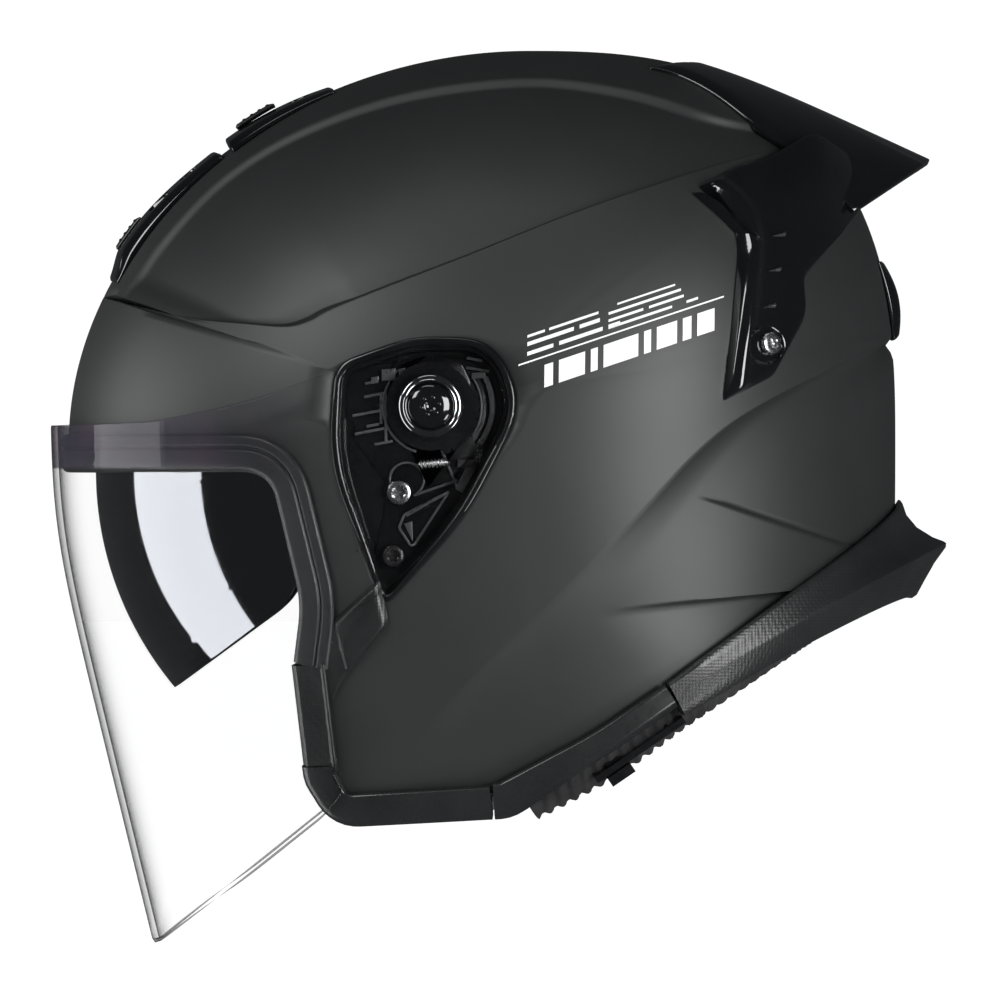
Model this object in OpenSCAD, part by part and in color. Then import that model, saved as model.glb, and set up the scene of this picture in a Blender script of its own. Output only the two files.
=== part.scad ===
/* [Shell] */
// Half width of the shell at its widest
half_width = 124; // [122:0.5:126]
// Crown centre to brow
front_reach = 153; // [152:0.5:154]
// Crown centre to the back
back_reach = 123; // [122:0.5:124]
// Shell centre to crown
crown_height = 130; // [129:0.5:131]
// Wall thickness of the outer shell
shell_wall = 3.6; // [3:0.1:4]

/* [Liner] */
// Depth of the impact foam
foam_depth = 28; // [26:1:32]
// Depth of the comfort padding on the crown
padding_depth = 6; // [4:0.5:7]

/* [Visors] */
// Thickness of the long clear visor
visor_wall = 2.2; // [2:0.1:2.4]
// Radius of the sun visor about its own pivot
sun_radius = 112; // [111:0.5:112]
// Thickness of the sun visor
sun_wall = 1.8; // [1.6:0.1:2]

/* [Side mechanism] */
// Radius of the visor hub
hub_radius = 9.4; // [9:0.1:10]
// Radius of the pivot screw's shank
screw_radius = 2.5; // [2:0.1:3]

/* [Hidden] */
$fn = 48;

skirt_depth = 210;
centre_y = 16;
centre_z = -7;
gap = 1.1;
roundness = 2.2;
pivot = [-16, 4];
sun_pivot = [-16, -17];
visor_half = 122;
visor_front = 125;
visor_slope = 13.75;
visor_slope_reach = 130.3;
sun_half = 105;
floor_x = 116.5;
plate_wall = 3;

// --- helpers for outlines in the side view, where a point is [y, z] ---

function unit(v) = v / norm(v);
function spot(p) = [p[0], p[1]];

// Rounds an outline's corners: a third number on a point is how far back its curve begins.
function bend(a, b, c, s, n) = let (u = unit(a - b), v = unit(c - b))
    [for (k = [0:n]) let (t = k / n) (1 - t) * (1 - t) * (b + u * s) + 2 * t * (1 - t) * b + t * t * (b + v * s)];
function rounded(p, closed = false, n = 3) = let (m = len(p)) [for (i = [0:m - 1])
    let (loose = !closed && (i == 0 || i == m - 1)) each (loose || p[i][2] == undef) ? [spot(p[i])]
        : bend(spot(p[(i + m - 1) % m]), spot(p[i]), spot(p[(i + 1) % m]), p[i][2], n)];
// Splits long sides so that they can follow a curved surface.
function dense(p, step, closed = false) = let (m = len(p), last = closed ? m - 1 : m - 2)
    concat([for (i = [0:last]) let (a = p[i], b = p[(i + 1) % m], k = max(1, ceil(norm(b - a) / step)))
        each [for (j = [0:k - 1]) a + (b - a) * j / k]], closed ? [] : [p[m - 1]]);

// Spaces points evenly along a path.
function lengths(p) = [for (i = 0, s = 0; i < len(p); s = s + (i + 1 < len(p) ? norm(p[i + 1] - p[i]) : 0), i = i + 1) s];
function spread(p, step) = let (d = lengths(p), m = len(p), total = d[m - 1], n = max(2, round(total / step)),
    us = [for (i = [0:m - 1]) [d[i], p[i][0]]], vs = [for (i = [0:m - 1]) [d[i], p[i][1]]])
    [for (k = [0:n]) let (t = total * k / n) [lookup(t, us), lookup(t, vs)]];

// --- the helmet's surface: a rounded body with its own reach in each quarter of the side view ---

function reach(a, d) = let (c = cos(a), s = sin(a), l = (c > 0 ? back_reach : front_reach) + d,
    h = (s > 0 ? crown_height : skirt_depth) + d, n = c > 0 ? 2.7 : s > 0 ? 1.95 : 2.2)
    pow(pow(abs(c) / l, n) + pow(abs(s) / h, n), -1 / n);
// p is a direction from the ear, in degrees; d is the distance outside the shell's face.
function on_shell(p, d = 0) = let (f = min(90, norm(p)), a = atan2(p[1], p[0]), r = reach(a, d) * sin(f))
    [(half_width + d) * pow(max(0, 1 - pow(sin(f), roundness)), 1 / roundness),
        centre_y + r * cos(a), centre_z + r * sin(a)];
function shell_spot(q, d = 0) = let (v = spot(q) - [centre_y, centre_z], a = atan2(v[1], v[0]),
    f = asin(min(1, norm(v) / reach(a, d)))) f * [cos(a), sin(a)];
// The same surface near the centre line, from a sideways distance and an angle round the side view.
function on_roof(x, a, d) = let (k = pow(1 - pow(abs(x) / half_width, roundness), 1 / roundness), r = reach(a, d) * k)
    [x, centre_y + r * cos(a), centre_z + r * sin(a)];
function level(y, z, x = 0) = let (v = [y - centre_y, z - centre_z], a = atan2(v[1], v[0]))
    pow(abs(x) / half_width, roundness) + pow(norm(v) / reach(a, 0), roundness);
function facing(p) = let (e = 0.01, x = abs(p[0])) unit([
    sign(p[0]) * roundness * pow(x, roundness - 1) / pow(half_width, roundness),
    (level(p[1] + e, p[2]) - level(p[1] - e, p[2])) / (2 * e),
    (level(p[1], p[2] + e) - level(p[1], p[2] - e)) / (2 * e)]);

// --- the two visors' surfaces, each about its own pivot ---

function wall_share(a, side, far) = pow(max(0, cos(a - side)) / far, 40);
function visor_reach(a, d) = pow(wall_share(a, 180, visor_front + d) + wall_share(a, 180 + visor_slope, visor_slope_reach + d)
    + wall_share(a, 270, 200 + d) + wall_share(a, 0, 140 + d) + wall_share(a, 90, 140 + d), -1 / 40);
function on_visor(p, d) = let (f = min(90, norm(p)), a = atan2(p[1], p[0]), r = visor_reach(a, d) * sin(f),
    z = pivot[1] + r * sin(a), taper = 1 - 0.0000034 * pow(max(0, -z - 20), 2))
    [(visor_half + d) * pow(max(0, 1 - pow(sin(f), 2.5)), 0.4) * taper, pivot[0] + r * cos(a), z];
function visor_spot(q) = let (v = spot(q) - pivot, a = atan2(v[1], v[0]), f = asin(min(1, norm(v) / visor_reach(a, 0))))
    f * [cos(a), sin(a)];
function on_sun(p, d) = let (f = min(90, norm(p)), a = atan2(p[1], p[0]), r = (sun_radius + d) * sin(f))
    [(sun_half + d) * pow(max(0, 1 - pow(sin(f), roundness)), 1 / roundness), sun_pivot[0] + r * cos(a), sun_pivot[1] + r * sin(a)];
function sun_spot(q) = let (v = spot(q) - sun_pivot, a = atan2(v[1], v[0]), f = asin(min(1, norm(v) / sun_radius)))
    f * [cos(a), sin(a)];

// --- closed solids over such a surface ---

function turned(f, back) = back ? [f[0], f[2], f[1]] : f;
function four(a, b, c, d, back) = [turned([a, b, c], back), turned([a, c, d], back)];

// Both halves of a skin. The first rim_n points of edge are its free edge, from centre line to centre line,
// and the rest lie on the centre line. skin is a function of a direction and a layer, 0 outside and 1 inside.
module two_halves(edge, rim_n, pole, rings, skin) {
    n = len(edge);
    m = rings + 1;
    points = [for (side = [1, -1]) for (layer = [0, 1]) for (i = [0:n - 1]) for (j = [0:rings])
        let (p = skin(pole + (edge[i] - pole) * j / rings, layer)) [j == rings && norm(edge[i]) > 89.99 ? 0 : side * p[0], p[1], p[2]]];
    function at(s, l, i, j) = ((s * 2 + l) * n + i % n) * m + (j == 0 ? 0 : j) - (j == 0 ? (i % n) * m : 0);
    faces = [for (s = [0, 1]) each concat(
        [for (l = [0, 1]) for (i = [0:n - 1]) for (j = [0:rings - 1]) each
            j == 0 ? [turned([at(s, l, i, 0), at(s, l, i + 1, 1), at(s, l, i, 1)], l + s == 1)]
                : four(at(s, l, i, j), at(s, l, i + 1, j), at(s, l, i + 1, j + 1), at(s, l, i, j + 1), l + s == 1)],
        [for (i = [0:rim_n - 2]) each
            four(at(s, 0, i, rings), at(s, 0, i + 1, rings), at(s, 1, i + 1, rings), at(s, 1, i, rings), s == 1)])];
    polyhedron(points, faces);
}

// A pad on one side: outline is a closed loop of directions, counter-clockwise from outside.
module pad(outline, pole, rings, skin) {
    n = len(outline);
    m = rings + 1;
    points = [for (layer = [0, 1]) for (i = [0:n - 1]) for (j = [0:rings]) skin(pole + (outline[i] - pole) * j / rings, layer)];
    function at(l, i, j) = j == 0 ? l * n * m : (l * n + i % n) * m + j;
    faces = concat(
        [for (l = [0, 1]) for (i = [0:n - 1]) for (j = [0:rings - 1]) each
            j == 0 ? [turned([at(l, i, 0), at(l, i + 1, 1), at(l, i, 1)], l == 1)]
                : four(at(l, i, j), at(l, i + 1, j), at(l, i + 1, j + 1), at(l, i, j + 1), l == 1)],
        [for (i = [0:n - 1]) each four(at(0, i, rings), at(0, i + 1, rings), at(1, i + 1, rings), at(1, i, rings), false)]);
    polyhedron(points, faces);
}

// A patch between two grids of the same size, each a list of rows.
module patch(top, under) {
    n = len(top);
    m = len(top[0]);
    function at(l, i, j) = (l * n + i) * m + j;
    function strip(l, back) = [for (i = [0:n - 2]) for (j = [0:m - 2]) each
        four(at(l, i, j), at(l, i + 1, j), at(l, i + 1, j + 1), at(l, i, j + 1), back)];
    sides = concat(
        [for (i = [0:n - 2]) each concat(four(at(0, i + 1, 0), at(0, i, 0), at(1, i, 0), at(1, i + 1, 0), false),
            four(at(0, i, m - 1), at(0, i + 1, m - 1), at(1, i + 1, m - 1), at(1, i, m - 1), false))],
        [for (j = [0:m - 2]) each concat(four(at(0, 0, j), at(0, 0, j + 1), at(1, 0, j + 1), at(1, 0, j), false),
            four(at(0, n - 1, j + 1), at(0, n - 1, j), at(1, n - 1, j), at(1, n - 1, j + 1), false))]);
    polyhedron([each [for (r = top) each r], each [for (r = under) each r]], concat(strip(0, false), strip(1, true), sides));
}

// Sweeps a closed section along points on the shell. The section's first number runs along the surface,
// away from the opening, and its second stands off the surface. grow(i) scales the stand-off.
module swept(path, section) {
    n = len(path);
    m = len(section[0]);
    points = [for (i = [0:n - 1]) let (t = unit(path[min(n - 1, i + 1)] - path[max(0, i - 1)]), f = facing(path[i]),
        b = unit(cross(f, t))) for (s = section[i]) path[i] + b * s[0] + f * s[1]];
    faces = concat([for (i = [0:n - 2]) for (j = [0:m - 1])
        each four(i * m + j, i * m + (j + 1) % m, (i + 1) * m + (j + 1) % m, (i + 1) * m + j, true)],
        [for (j = [1:m - 2]) [0, j, j + 1]],
        [for (j = [1:m - 2]) [(n - 1) * m, (n - 1) * m + j + 1, (n - 1) * m + j]]);
    polyhedron(points, faces);
}
function reversed(path) = [for (i = [len(path) - 1:-1:0]) path[i]];
function mirrored(path) = concat([for (i = [len(path) - 1:-1:1]) [-path[i][0], path[i][1], path[i][2]]], path);

module both() {
    children();
    mirror([1, 0, 0]) children();
}
module on_side(side) {
    if (side > 0) children();
    else mirror([1, 0, 0]) children();
}
// Stands a flat drawing of the side view at a sideways distance.
module upright(x, depth) {
    translate([x, 0, 0]) rotate([90, 0, 90]) linear_extrude(depth) children();
}
module across(x, y, z) {
    translate([x, y, z]) rotate([0, 90, 0]) children();
}

// --- outlines ---

brow_z = -14;
brow_start = atan2(brow_z - centre_z, -137 - centre_y);
eyeport_edge = [[-137, brow_z], [-66, brow_z, 12], [-55, -60, 8], [-58, -80, 6], [-54, -116, 8], [-45, -127, 6]];
lower_edge = [[-45, -127, 6], [8, -124, 8], [40, -107, 10], [63, -91, 10], [101, -68, 10], [138, -47]];
shell_edge = concat(eyeport_edge, [for (i = [1:len(lower_edge) - 1]) lower_edge[i]]);
ear_outline = [[-22, 25.5, 8], [4, 25, 11], [13, 4, 11], [-6, -32, 12], [-31, -60, 3], [-36, -46, 4], [-48, -14, 14], [-46, 17, 6]];

// Closes a free edge with the centre line, over the crown from back to front.
function closing(front, back, n) = [for (k = [1:n - 1]) let (a = back + (front - back) * k / n) 90 * [cos(a), sin(a)]];
function half_loop(edge, n) = let (a0 = atan2(edge[0][1], edge[0][0]), a1 = atan2(edge[len(edge) - 1][1], edge[len(edge) - 1][0]),
    front = a0 < 0 ? a0 + 360 : a0) concat(edge, closing(front, a1, n));
function to_rim(list) = let (n = len(list)) [for (i = [0:n - 1]) (i == 0 || i == n - 1) ? 90 * unit(list[i]) : list[i]];
shell_rim = to_rim(spread([for (q = dense(rounded(shell_edge), 1)) shell_spot(q)], 6.5));
crown_pole = shell_spot([12, 38]);

module ear_opening(grow, from) {
    both() upright(from, 20) offset(delta = grow) polygon(rounded(ear_outline, true));
}

// --- shell and lining ---

module outer_shell() color([0.07, 0.07, 0.075]) {
    difference() {
        two_halves(half_loop(shell_rim, 24), len(shell_rim), crown_pole, 8, function(p, l) on_shell(p, l == 0 ? 0 : -shell_wall));
        ear_opening(0.3, 108);
    }
}

foam_edge = [[-131, -8], [-64, -8, 8], [-50, -31, 6], [46, -35, 6], [54, -78, 6], [104, -60, 8], [133, -43]];
foam_rim = to_rim(spread([for (q = dense(rounded(foam_edge), 1)) shell_spot(q, -4)], 8));
// How far the foam steps in behind the brow, so that the sun visor can swing up over it.
function sun_room(p) = let (q = on_shell(p, -4), v = [q[1], q[2]] - sun_pivot, a = atan2(v[1], v[0]))
    (a > 116 || a < -150) ? 1 : 0;
function foam_skin(p, l) = l == 1 ? on_shell(p, -shell_wall - gap - foam_depth)
    : sun_room(p) > 0 ? on_shell(p, -shell_wall - 14) : on_shell(p, -shell_wall - gap);
module impact_foam() color([0.12, 0.12, 0.12]) {
    difference() {
        two_halves(half_loop(foam_rim, 16), len(foam_rim), shell_spot([12, 34]), 7, function(p, l) foam_skin(p, l));
        ear_opening(0.8, 108);
        // Slots in which the sun visor's arms swing.
        both() upright(97, 26) union() {
            translate(sun_pivot) circle(r = 16);
            polygon(concat([sun_pivot + [8, 14], sun_pivot - [-2, 16]], [for (a = [236:-12:112]) sun_pivot + 75 * [cos(a), sin(a)]]));
        }
        // The arms curve inwards towards the face, so the slots deepen there.
        both() upright(90, 30) polygon(concat([for (a = [160:-12:112]) sun_pivot + 42 * [cos(a), sin(a)]],
            [for (a = [112:12:160]) sun_pivot + 76 * [cos(a), sin(a)]]));
    }
}

padding_edge = [[-92, 0], [-66, -2, 8], [-40, -24, 8], [44, -26, 6], [58, -62, 8], [80, -58, 8], [103, -40]];
padding_rim = to_rim(spread([for (q = dense(rounded(padding_edge), 1)) shell_spot(q, -38)], 9));
module crown_padding() color([0.16, 0.16, 0.17]) {
    inside = -shell_wall - foam_depth - 3.4 * gap;
    two_halves(half_loop(padding_rim, 14), len(padding_rim), shell_spot([12, 34]), 5,
        function(p, l) on_shell(p, l == 0 ? inside : inside - padding_depth));
}

cheek_outline = [[-50, -112, 8], [-42, -133, 4], [-14, -139, 6], [6, -136, 4], [10, -104, 6], [47, -82, 6], [40, -42, 8], [-48, -42, 5]];
module cheek_pad(side) color([0.14, 0.14, 0.15]) {
    loop = [for (q = dense(rounded(cheek_outline, true), 20, true)) shell_spot(q, -4)];
    on_side(side) pad(loop, shell_spot([-4, -84], -4), 3,
        function(p, l) on_shell(p, l == 1 ? -46 : on_shell(p, -6)[2] < -116 ? -9 : on_shell(p, -6)[2] > -66 ? -15 : -6));
}

// --- edges of the shell ---

eyeport_path = [for (p = spread([for (q = dense(rounded([[-137, brow_z], [-66, brow_z, 12], [-55, -60, 8], [-57.5, -78]]), 1))
    shell_spot(q)], 4.5)) on_shell(p)];
module eyeport_gasket() color([0.05, 0.05, 0.05]) {
    path = [for (k = [0:len(eyeport_path) - 1]) k == 0 ? [0, centre_y + reach(brow_start + 360, 0) * cos(brow_start), brow_z] : eyeport_path[k]];
    section = [[-1.9, 0.6], [8.4, 0.6], [9.2, 1.2], [8.4, 2.3], [5.2, 2.4], [4.6, 1.7], [4, 2.4], [-1.8, 2.4], [-3.4, 1],
        [-3.4, -shell_wall - 0.8], [-2.4, -shell_wall - 2.4], [4, -shell_wall - 2], [4, -shell_wall - 0.8], [-1.9, -shell_wall - 0.8]];
    swept(mirrored(path), [for (p = mirrored(path)) section]);
}

function trim_section(high, low, t) = [[-1.4, 0.6], [high, 0.6], [high - 0.8, t], [low + 2, t], [low, t - 1.6], [low, -5], [-1.4, -5]];
function edge_path(list, step) = [for (q = dense(rounded(list), step)) on_shell(shell_spot(q))];
module cheek_trim(side) color([0.04, 0.04, 0.045]) {
    path = edge_path([[-57.8, -81], [-54, -113]], 9);
    on_side(side) swept(path, [for (p = path) trim_section(8.5, -4, 2.6)]);
}
module edge_trim_front(side) color([0.03, 0.03, 0.035]) {
    path = edge_path([[-54, -113.4], [-53.2, -118, 2], [-45, -127, 5], [3.6, -124.2]], 12);
    on_side(side) swept(path, [for (p = path) trim_section(4.4, -7.5, 2.6)]);
}
module edge_trim_side(side) color([0.03, 0.03, 0.035]) {
    path = edge_path([[4.6, -124.1], [8, -124, 2], [40, -107, 8], [62, -91.6]], 12);
    on_side(side) swept(path, [for (p = path) trim_section(5.4, -7.5, 2.6)]);
}
module rear_lip() color([0.03, 0.03, 0.035]) {
    half = [for (p = spread([for (q = dense(rounded([[63.4, -90.8], [101, -68, 8], [138, -47]]), 1)) shell_spot(q)], 5)) on_shell(p)];
    path = [for (k = [0:len(half) - 1]) k == len(half) - 1 ? [0, half[k][1], half[k][2]] : half[k]];
    all = reversed(mirrored(reversed(path)));
    swept(all, [for (p = all) let (w = pow(max(0, 1 - abs(p[0]) / 108), 0.8), t = 2.6 + 15 * w)
        [[-1, 0.6], [6 + 3 * w, 0.6], [5.4 + 2 * w, 2.2], [1 + w, t], [-1, t], [-7.5, 1 + 2 * w], [-7.5, -5], [-1, -5]]]);
}

// Hard cover over the front of each visor hinge, below the visor's edge.
hinge_cover_outline = [[-49, -76, 3], [-47, -91], [-29, -66.5, 2], [-33, -53, 2], [-41, -58]];
module hinge_cover(side) color([0.06, 0.06, 0.065]) {
    loop = [for (q = dense(rounded(hinge_cover_outline, true), 10, true)) shell_spot(q)];
    on_side(side) pad(loop, shell_spot([-40, -70]), 1, function(p, l) on_shell(p, l == 0 ? 2 : 0.5));
}

neck_path = [for (p = spread([for (q = dense(rounded([[12, -122], [40, -107, 12], [63, -91, 10], [101, -68, 12], [138, -47]]), 1))
    shell_spot(q)], 6)) on_shell(p)];
module neck_roll() color([0.13, 0.13, 0.14]) {
    last = len(neck_path) - 1;
    half = [for (k = [0:last]) k == last ? [0, neck_path[k][1], neck_path[k][2]] : neck_path[k]];
    all = reversed(mirrored(reversed(half)));
    swept(all, [for (p = all) [for (a = [0:36:324]) [-3.5 + 8 * cos(a), -16 + 9.5 * sin(a)]]]);
}

// --- side mechanism ---

// A tray with a flat floor and a rim, which stands higher behind, where the shell is fuller.
plate_floor = 113.5;
tray_loop = rounded(ear_outline, true, 4);
function drawn_in(loop, by) = [for (q = loop) q + by * unit([-20, -8] - q)];
module base_plate(side) color([0.1, 0.1, 0.11]) {
    on_side(side) difference() {
        upright(111, 6.2) polygon(tray_loop);
        // The hollow, less a round seat for the hub.
        difference() {
            upright(plate_floor, 10) polygon(drawn_in(tray_loop, 1.8));
            across(plate_floor - 1, pivot[0], pivot[1]) cylinder(h = 3, r = 11);
        }
        translate([114.6, -114, -100]) cube([40, 100, 200]);
        across(105, pivot[0], pivot[1]) cylinder(h = 20, r = 5);
        across(105, -26.4, -24.3) cylinder(h = 20, r = 2.2);
        across(105, -28.2, -45) cylinder(h = 20, r = 2.2);
        upright(105, 20) polygon([[-24.6, -31.5], [-9.7, -23.8], [-21.7, -41.5], [-26, -35.5]]);
    }
}
module screw_pair(y, z, head) {
    both() {
        across(109.6, y, z) cylinder(h = 4.6, r = 2);
        difference() {
            across(114, y, z) cylinder(h = 2.2, r1 = head, r2 = head - 0.6);
            across(115, y, z) cylinder(h = 3, r = 1.3, $fn = 6);
        }
    }
}
module plate_screws() color([0.75, 0.75, 0.75]) screw_pair(-26.4, -24.3, 4);
module lower_plate_screws() color([0.12, 0.12, 0.12]) screw_pair(-28.2, -45, 3);

// Ring of ratchet teeth fixed inside the visor's ear.
module ratchet(side) color([0.16, 0.16, 0.17]) {
    on_side(side) translate([116.2, pivot[0], pivot[1]]) rotate([90, 0, 90]) difference() {
        union() {
            cylinder(h = 2, r = 14.5);
            cylinder(h = 5.4, r = 11);
            for (a = [-70:12:20]) rotate(a) translate([13, -1.4, 0]) cube([3.4, 2.8, 2]);
        }
        translate([0, 0, -1]) cylinder(h = 8, r = 8.5);
    }
}
// Block that drops between the ratchet teeth, with the arm that releases it.
module release_lever(side) color([0.2, 0.2, 0.21]) {
    on_side(side) upright(plate_floor + 0.4, 2) {
        polygon([[-7.2, -13.4], [-0.6, -13.4], [-1.4, -17], [-5.6, -24.5], [-8.2, -23], [-4.4, -16.4], [-7.2, -16]]);
    }
}
module lever_springs() color([0.7, 0.7, 0.72]) {
    both() translate([plate_floor + 1.7, -19.6, -15.2]) rotate([-90, 0, 0]) difference() {
        cylinder(h = 10, r = 1.5);
        translate([0, 0, -1]) cylinder(h = 14, r = 0.8);
    }
}

// --- long visor ---

visor_edge = [[-108.3, -175], [-51, -129.5, 3], [-44.5, -122, 3], [-49, -101], [-50.8, -83, 3], [-47, -69], [-30, -55, 2],
    [-16.4, -42.9], [-5.4, -29.6, 8], [3.6, -12.4, 6], [10.4, 7, 8], [2, 22, 8], [-14, 25, 8], [-46.7, 15.7, 14], [-75, 5.5, 12], [-106, -1], [-141, -2]];
visor_rim = to_rim(spread([for (q = dense(rounded(visor_edge), 1)) visor_spot(q)], 4.5));
module visor() color([0.75, 0.8, 0.82, 0.35]) {
    first = visor_rim[0];
    last = visor_rim[len(visor_rim) - 1];
    a0 = atan2(first[1], first[0]) + 360;
    a1 = atan2(last[1], last[0]) + (last[1] < 0 ? 360 : 0);
    difference() {
        two_halves(concat(visor_rim, closing(a0, a1, 10)), len(visor_rim), visor_spot([-60, -50]), 5,
            function(p, l) on_visor(p, l == 0 ? visor_wall : 0));
        across(-150, pivot[0], pivot[1]) cylinder(h = 300, r = 8.4);
    }
}
module visor_hub(side) color([0.5, 0.5, 0.52]) {
    on_side(side) translate([0, pivot[0], pivot[1]]) rotate([0, 90, 0]) rotate_extrude()
        polygon([[0, 111.2], [4.6, 111.2], [4.6, 115.6], [8, 115.6], [8, 124.7], [hub_radius, 124.7], [hub_radius, 126.2],
            [hub_radius - 1, 126.9], [7.6, 126.9], [6, 127.6], [3, 128], [0, 128.1]]);
}

// --- sun visor ---

sun_edge = [[-102.7, -90], [-62, -60, 8], [-55, -35, 8], [-24, -27, 2], [-16, -29], [-7.5, -25.5], [-4, -17], [-7.5, -8.5], [-16, -5], [-66, -3, 6], [-128.4, -4]];
sun_rim = to_rim(spread([for (q = dense(rounded(sun_edge), 1)) sun_spot(q)], 6.5));
module sun_visor() color([0.1, 0.1, 0.12, 0.7]) {
    first = sun_rim[0];
    last = sun_rim[len(sun_rim) - 1];
    difference() {
        two_halves(concat(sun_rim, closing(atan2(first[1], first[0]) + 360, atan2(last[1], last[0]), 8)), len(sun_rim),
            sun_spot([-62, -30]), 4, function(p, l) on_sun(p, l == 0 ? 0 : -sun_wall));
        across(-150, sun_pivot[0], sun_pivot[1]) cylinder(h = 300, r = 4.4);
    }
}
module sun_visor_pins() color([0.3, 0.3, 0.31]) {
    both() across(102.8, sun_pivot[0], sun_pivot[1]) cylinder(h = 8.1, r = 4);
}
slide_from = on_shell(shell_spot([38, -108]), -1);
slide_to = on_shell(shell_spot([58, -94.4]), -1);
slide_way = unit(slide_to - slide_from);
module along_rim(p) {
    f = facing(p);
    b = unit(cross(slide_way, f));
    n = cross(b, slide_way);
    multmatrix([[slide_way[0], b[0], n[0], p[0]], [slide_way[1], b[1], n[1], p[1]], [slide_way[2], b[2], n[2], p[2]]]) children();
}
module sun_slider_track() color([0.08, 0.08, 0.08]) {
    along_rim(slide_from) translate([-6, 8.6, -6.5]) difference() {
        cube([35, 2.2, 6]);
        translate([3, -1, 1.8]) cube([29, 5, 2.4]);
    }
}
module sun_slider() color([0.05, 0.05, 0.05]) {
    along_rim(slide_from) translate([-2.6, 8.4, -6.5]) {
        translate([0, 2.8, -0.4]) cube([9, 3.4, 7]);
        translate([2, -0.6, 2.2]) cube([5, 4, 1.6]);
    }
}

// --- spoiler ---

function tail(a) = 0.8 + 24.4 * pow(max(0, (68 - a) / 33.2), 2.7);
module spoiler_plate() color([0.02, 0.02, 0.025]) {
    rows = [for (a = [69:-2.8:35]) a];
    cross_steps = [for (k = [-8:8]) k * 7.2];
    patch([for (a = rows) [for (x = cross_steps) on_roof(x, a, 0.5 + tail(a) * (1 - 0.7 * pow(abs(x) / 58, 2.4)) + (abs(x) > 57 ? 0 : 0.8))]],
        [for (a = rows) [for (x = cross_steps) on_roof(x, a, 0.4)]]);
}
wing_outline = [[74, 77], [83, 69.3, 4], [86.8, 61, 4], [85.2, 45.9], [81, 6.5, 2], [99, 13.5, 2], [110, 34, 3], [108.4, 45, 2], [120, 59], [112, 67, 2], [95, 82], [80, 92, 3]];
module spoiler_wing(side) color([0.02, 0.02, 0.025]) {
    loop = [for (q = dense(rounded(wing_outline, true), 9, true)) shell_spot(q)];
    on_side(side) difference() {
        pad(loop, shell_spot([96, 52]), 3, function(p, l) l == 1 ? on_shell(p, 0.4) : on_shell(p, 5));
        standing(on_shell(shell_spot([94.1, 24.1]))) {
            translate([0, 0, 3.4]) cylinder(h = 8, r = 5);
            translate([0, 0, -3]) cylinder(h = 12, r = 2.3);
        }
    }
}
module standing(p) {
    f = facing(p);
    translate(p) rotate([0, acos(f[2]), atan2(f[1], f[0])]) children();
}
module spoiler_screws() color([0.3, 0.3, 0.3]) {
    both() standing(on_shell(shell_spot([94.1, 24.1]))) difference() {
        union() {
            translate([0, 0, 0.4]) cylinder(h = 4, r = 2);
            translate([0, 0, 3.6]) cylinder(h = 2.2, r = 3.7);
        }
        translate([0, 0, 4.8]) cylinder(h = 3, r = 1.4, $fn = 6);
    }
}

// --- vents ---

module roof_patch(a0, a1, half, rise) {
    rows = [for (k = [0:8]) a0 + (a1 - a0) * k / 8];
    ways = [for (k = [-5:5]) k / 5 * half];
    patch([for (a = rows) [for (x = ways) on_roof(x, a, abs(x) > half - 0.1 ? 1 : rise((a0 - a) / (a0 - a1)))]],
        [for (a = rows) [for (x = ways) on_roof(x, a, 0.4)]]);
}
module brow_vent() color([0.05, 0.05, 0.055]) {
    roof_patch(159, 137, 30, function(t) t < 0.2 ? 0.8 + 12 * t : 3.2 - 1.4 * (t - 0.2));
}
module brow_vent_slider() color([0.08, 0.08, 0.085]) {
    patch([for (a = [155:-1.5:150]) [for (x = [-12:6:12]) on_roof(x, a, 5.2)]], [for (a = [155:-1.5:150]) [for (x = [-12:6:12]) on_roof(x, a, 3.7)]]);
}
module crown_vent() color([0.05, 0.05, 0.055]) {
    roof_patch(135.6, 119, 30, function(t) 3.6 - 2.4 * pow(t, 3));
}
module crown_vent_slider() color([0.08, 0.08, 0.085]) {
    patch([for (a = [133:-1.5:127]) [for (x = [-12:6:12]) on_roof(x, a, 5.4)]], [for (a = [133:-1.5:127]) [for (x = [-12:6:12]) on_roof(x, a, 4)]]);
}
module rear_vent() color([0.05, 0.05, 0.055]) {
    roof_patch(27, 15.4, 20, function(t) 1 + 2.6 * sin(t * 100));
}

// --- chin strap, fastened and tucked up inside ---

strap_curve = [[61, -8, -82], [60, -12, -98], [55.6, -18, -111], [48, -24, -118], [34, -28, -122.6], [16.2, -28, -122.9]];
module strap(side) color([0.08, 0.08, 0.08]) {
    line = [for (i = [0:side > 0 ? 5 : 4]) strap_curve[i]];
    on_side(side) patch([for (p = line) [for (w = [10, -10]) p + [0, w, 0] + [1, 0, -1.4]]], [for (p = line) [for (w = [10, -10]) p + [0, w, 0]]]);
}
module strap_anchors() color([0.6, 0.6, 0.62]) {
    both() across(57, -8, -86) difference() {
        cylinder(h = 3, r = 7);
        translate([0, 0, -1]) cylinder(h = 8, r = 3);
    }
}
module buckle_body() color([0.1, 0.1, 0.1]) {
    difference() {
        union() {
            translate([-14, -41, -124.6]) cube([30, 26, 2]);
            for (y = [-41, -17]) hull() {
                translate([4, y, -125]) cube([12, 2, 1]);
                translate([12, y, -130]) rotate([-90, 0, 0]) cylinder(h = 2, r = 3);
            }
        }
        translate([10.5, -38.4, -126]) cube([3, 20.8, 4]);
        translate([12, -44, -130]) rotate([-90, 0, 0]) cylinder(h = 32, r = 1.5);
    }
}
module buckle_pin() color([0.6, 0.6, 0.62]) {
    translate([12, -41.6, -130]) rotate([-90, 0, 0]) cylinder(h = 27.2, r = 1.5);
}
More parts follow.
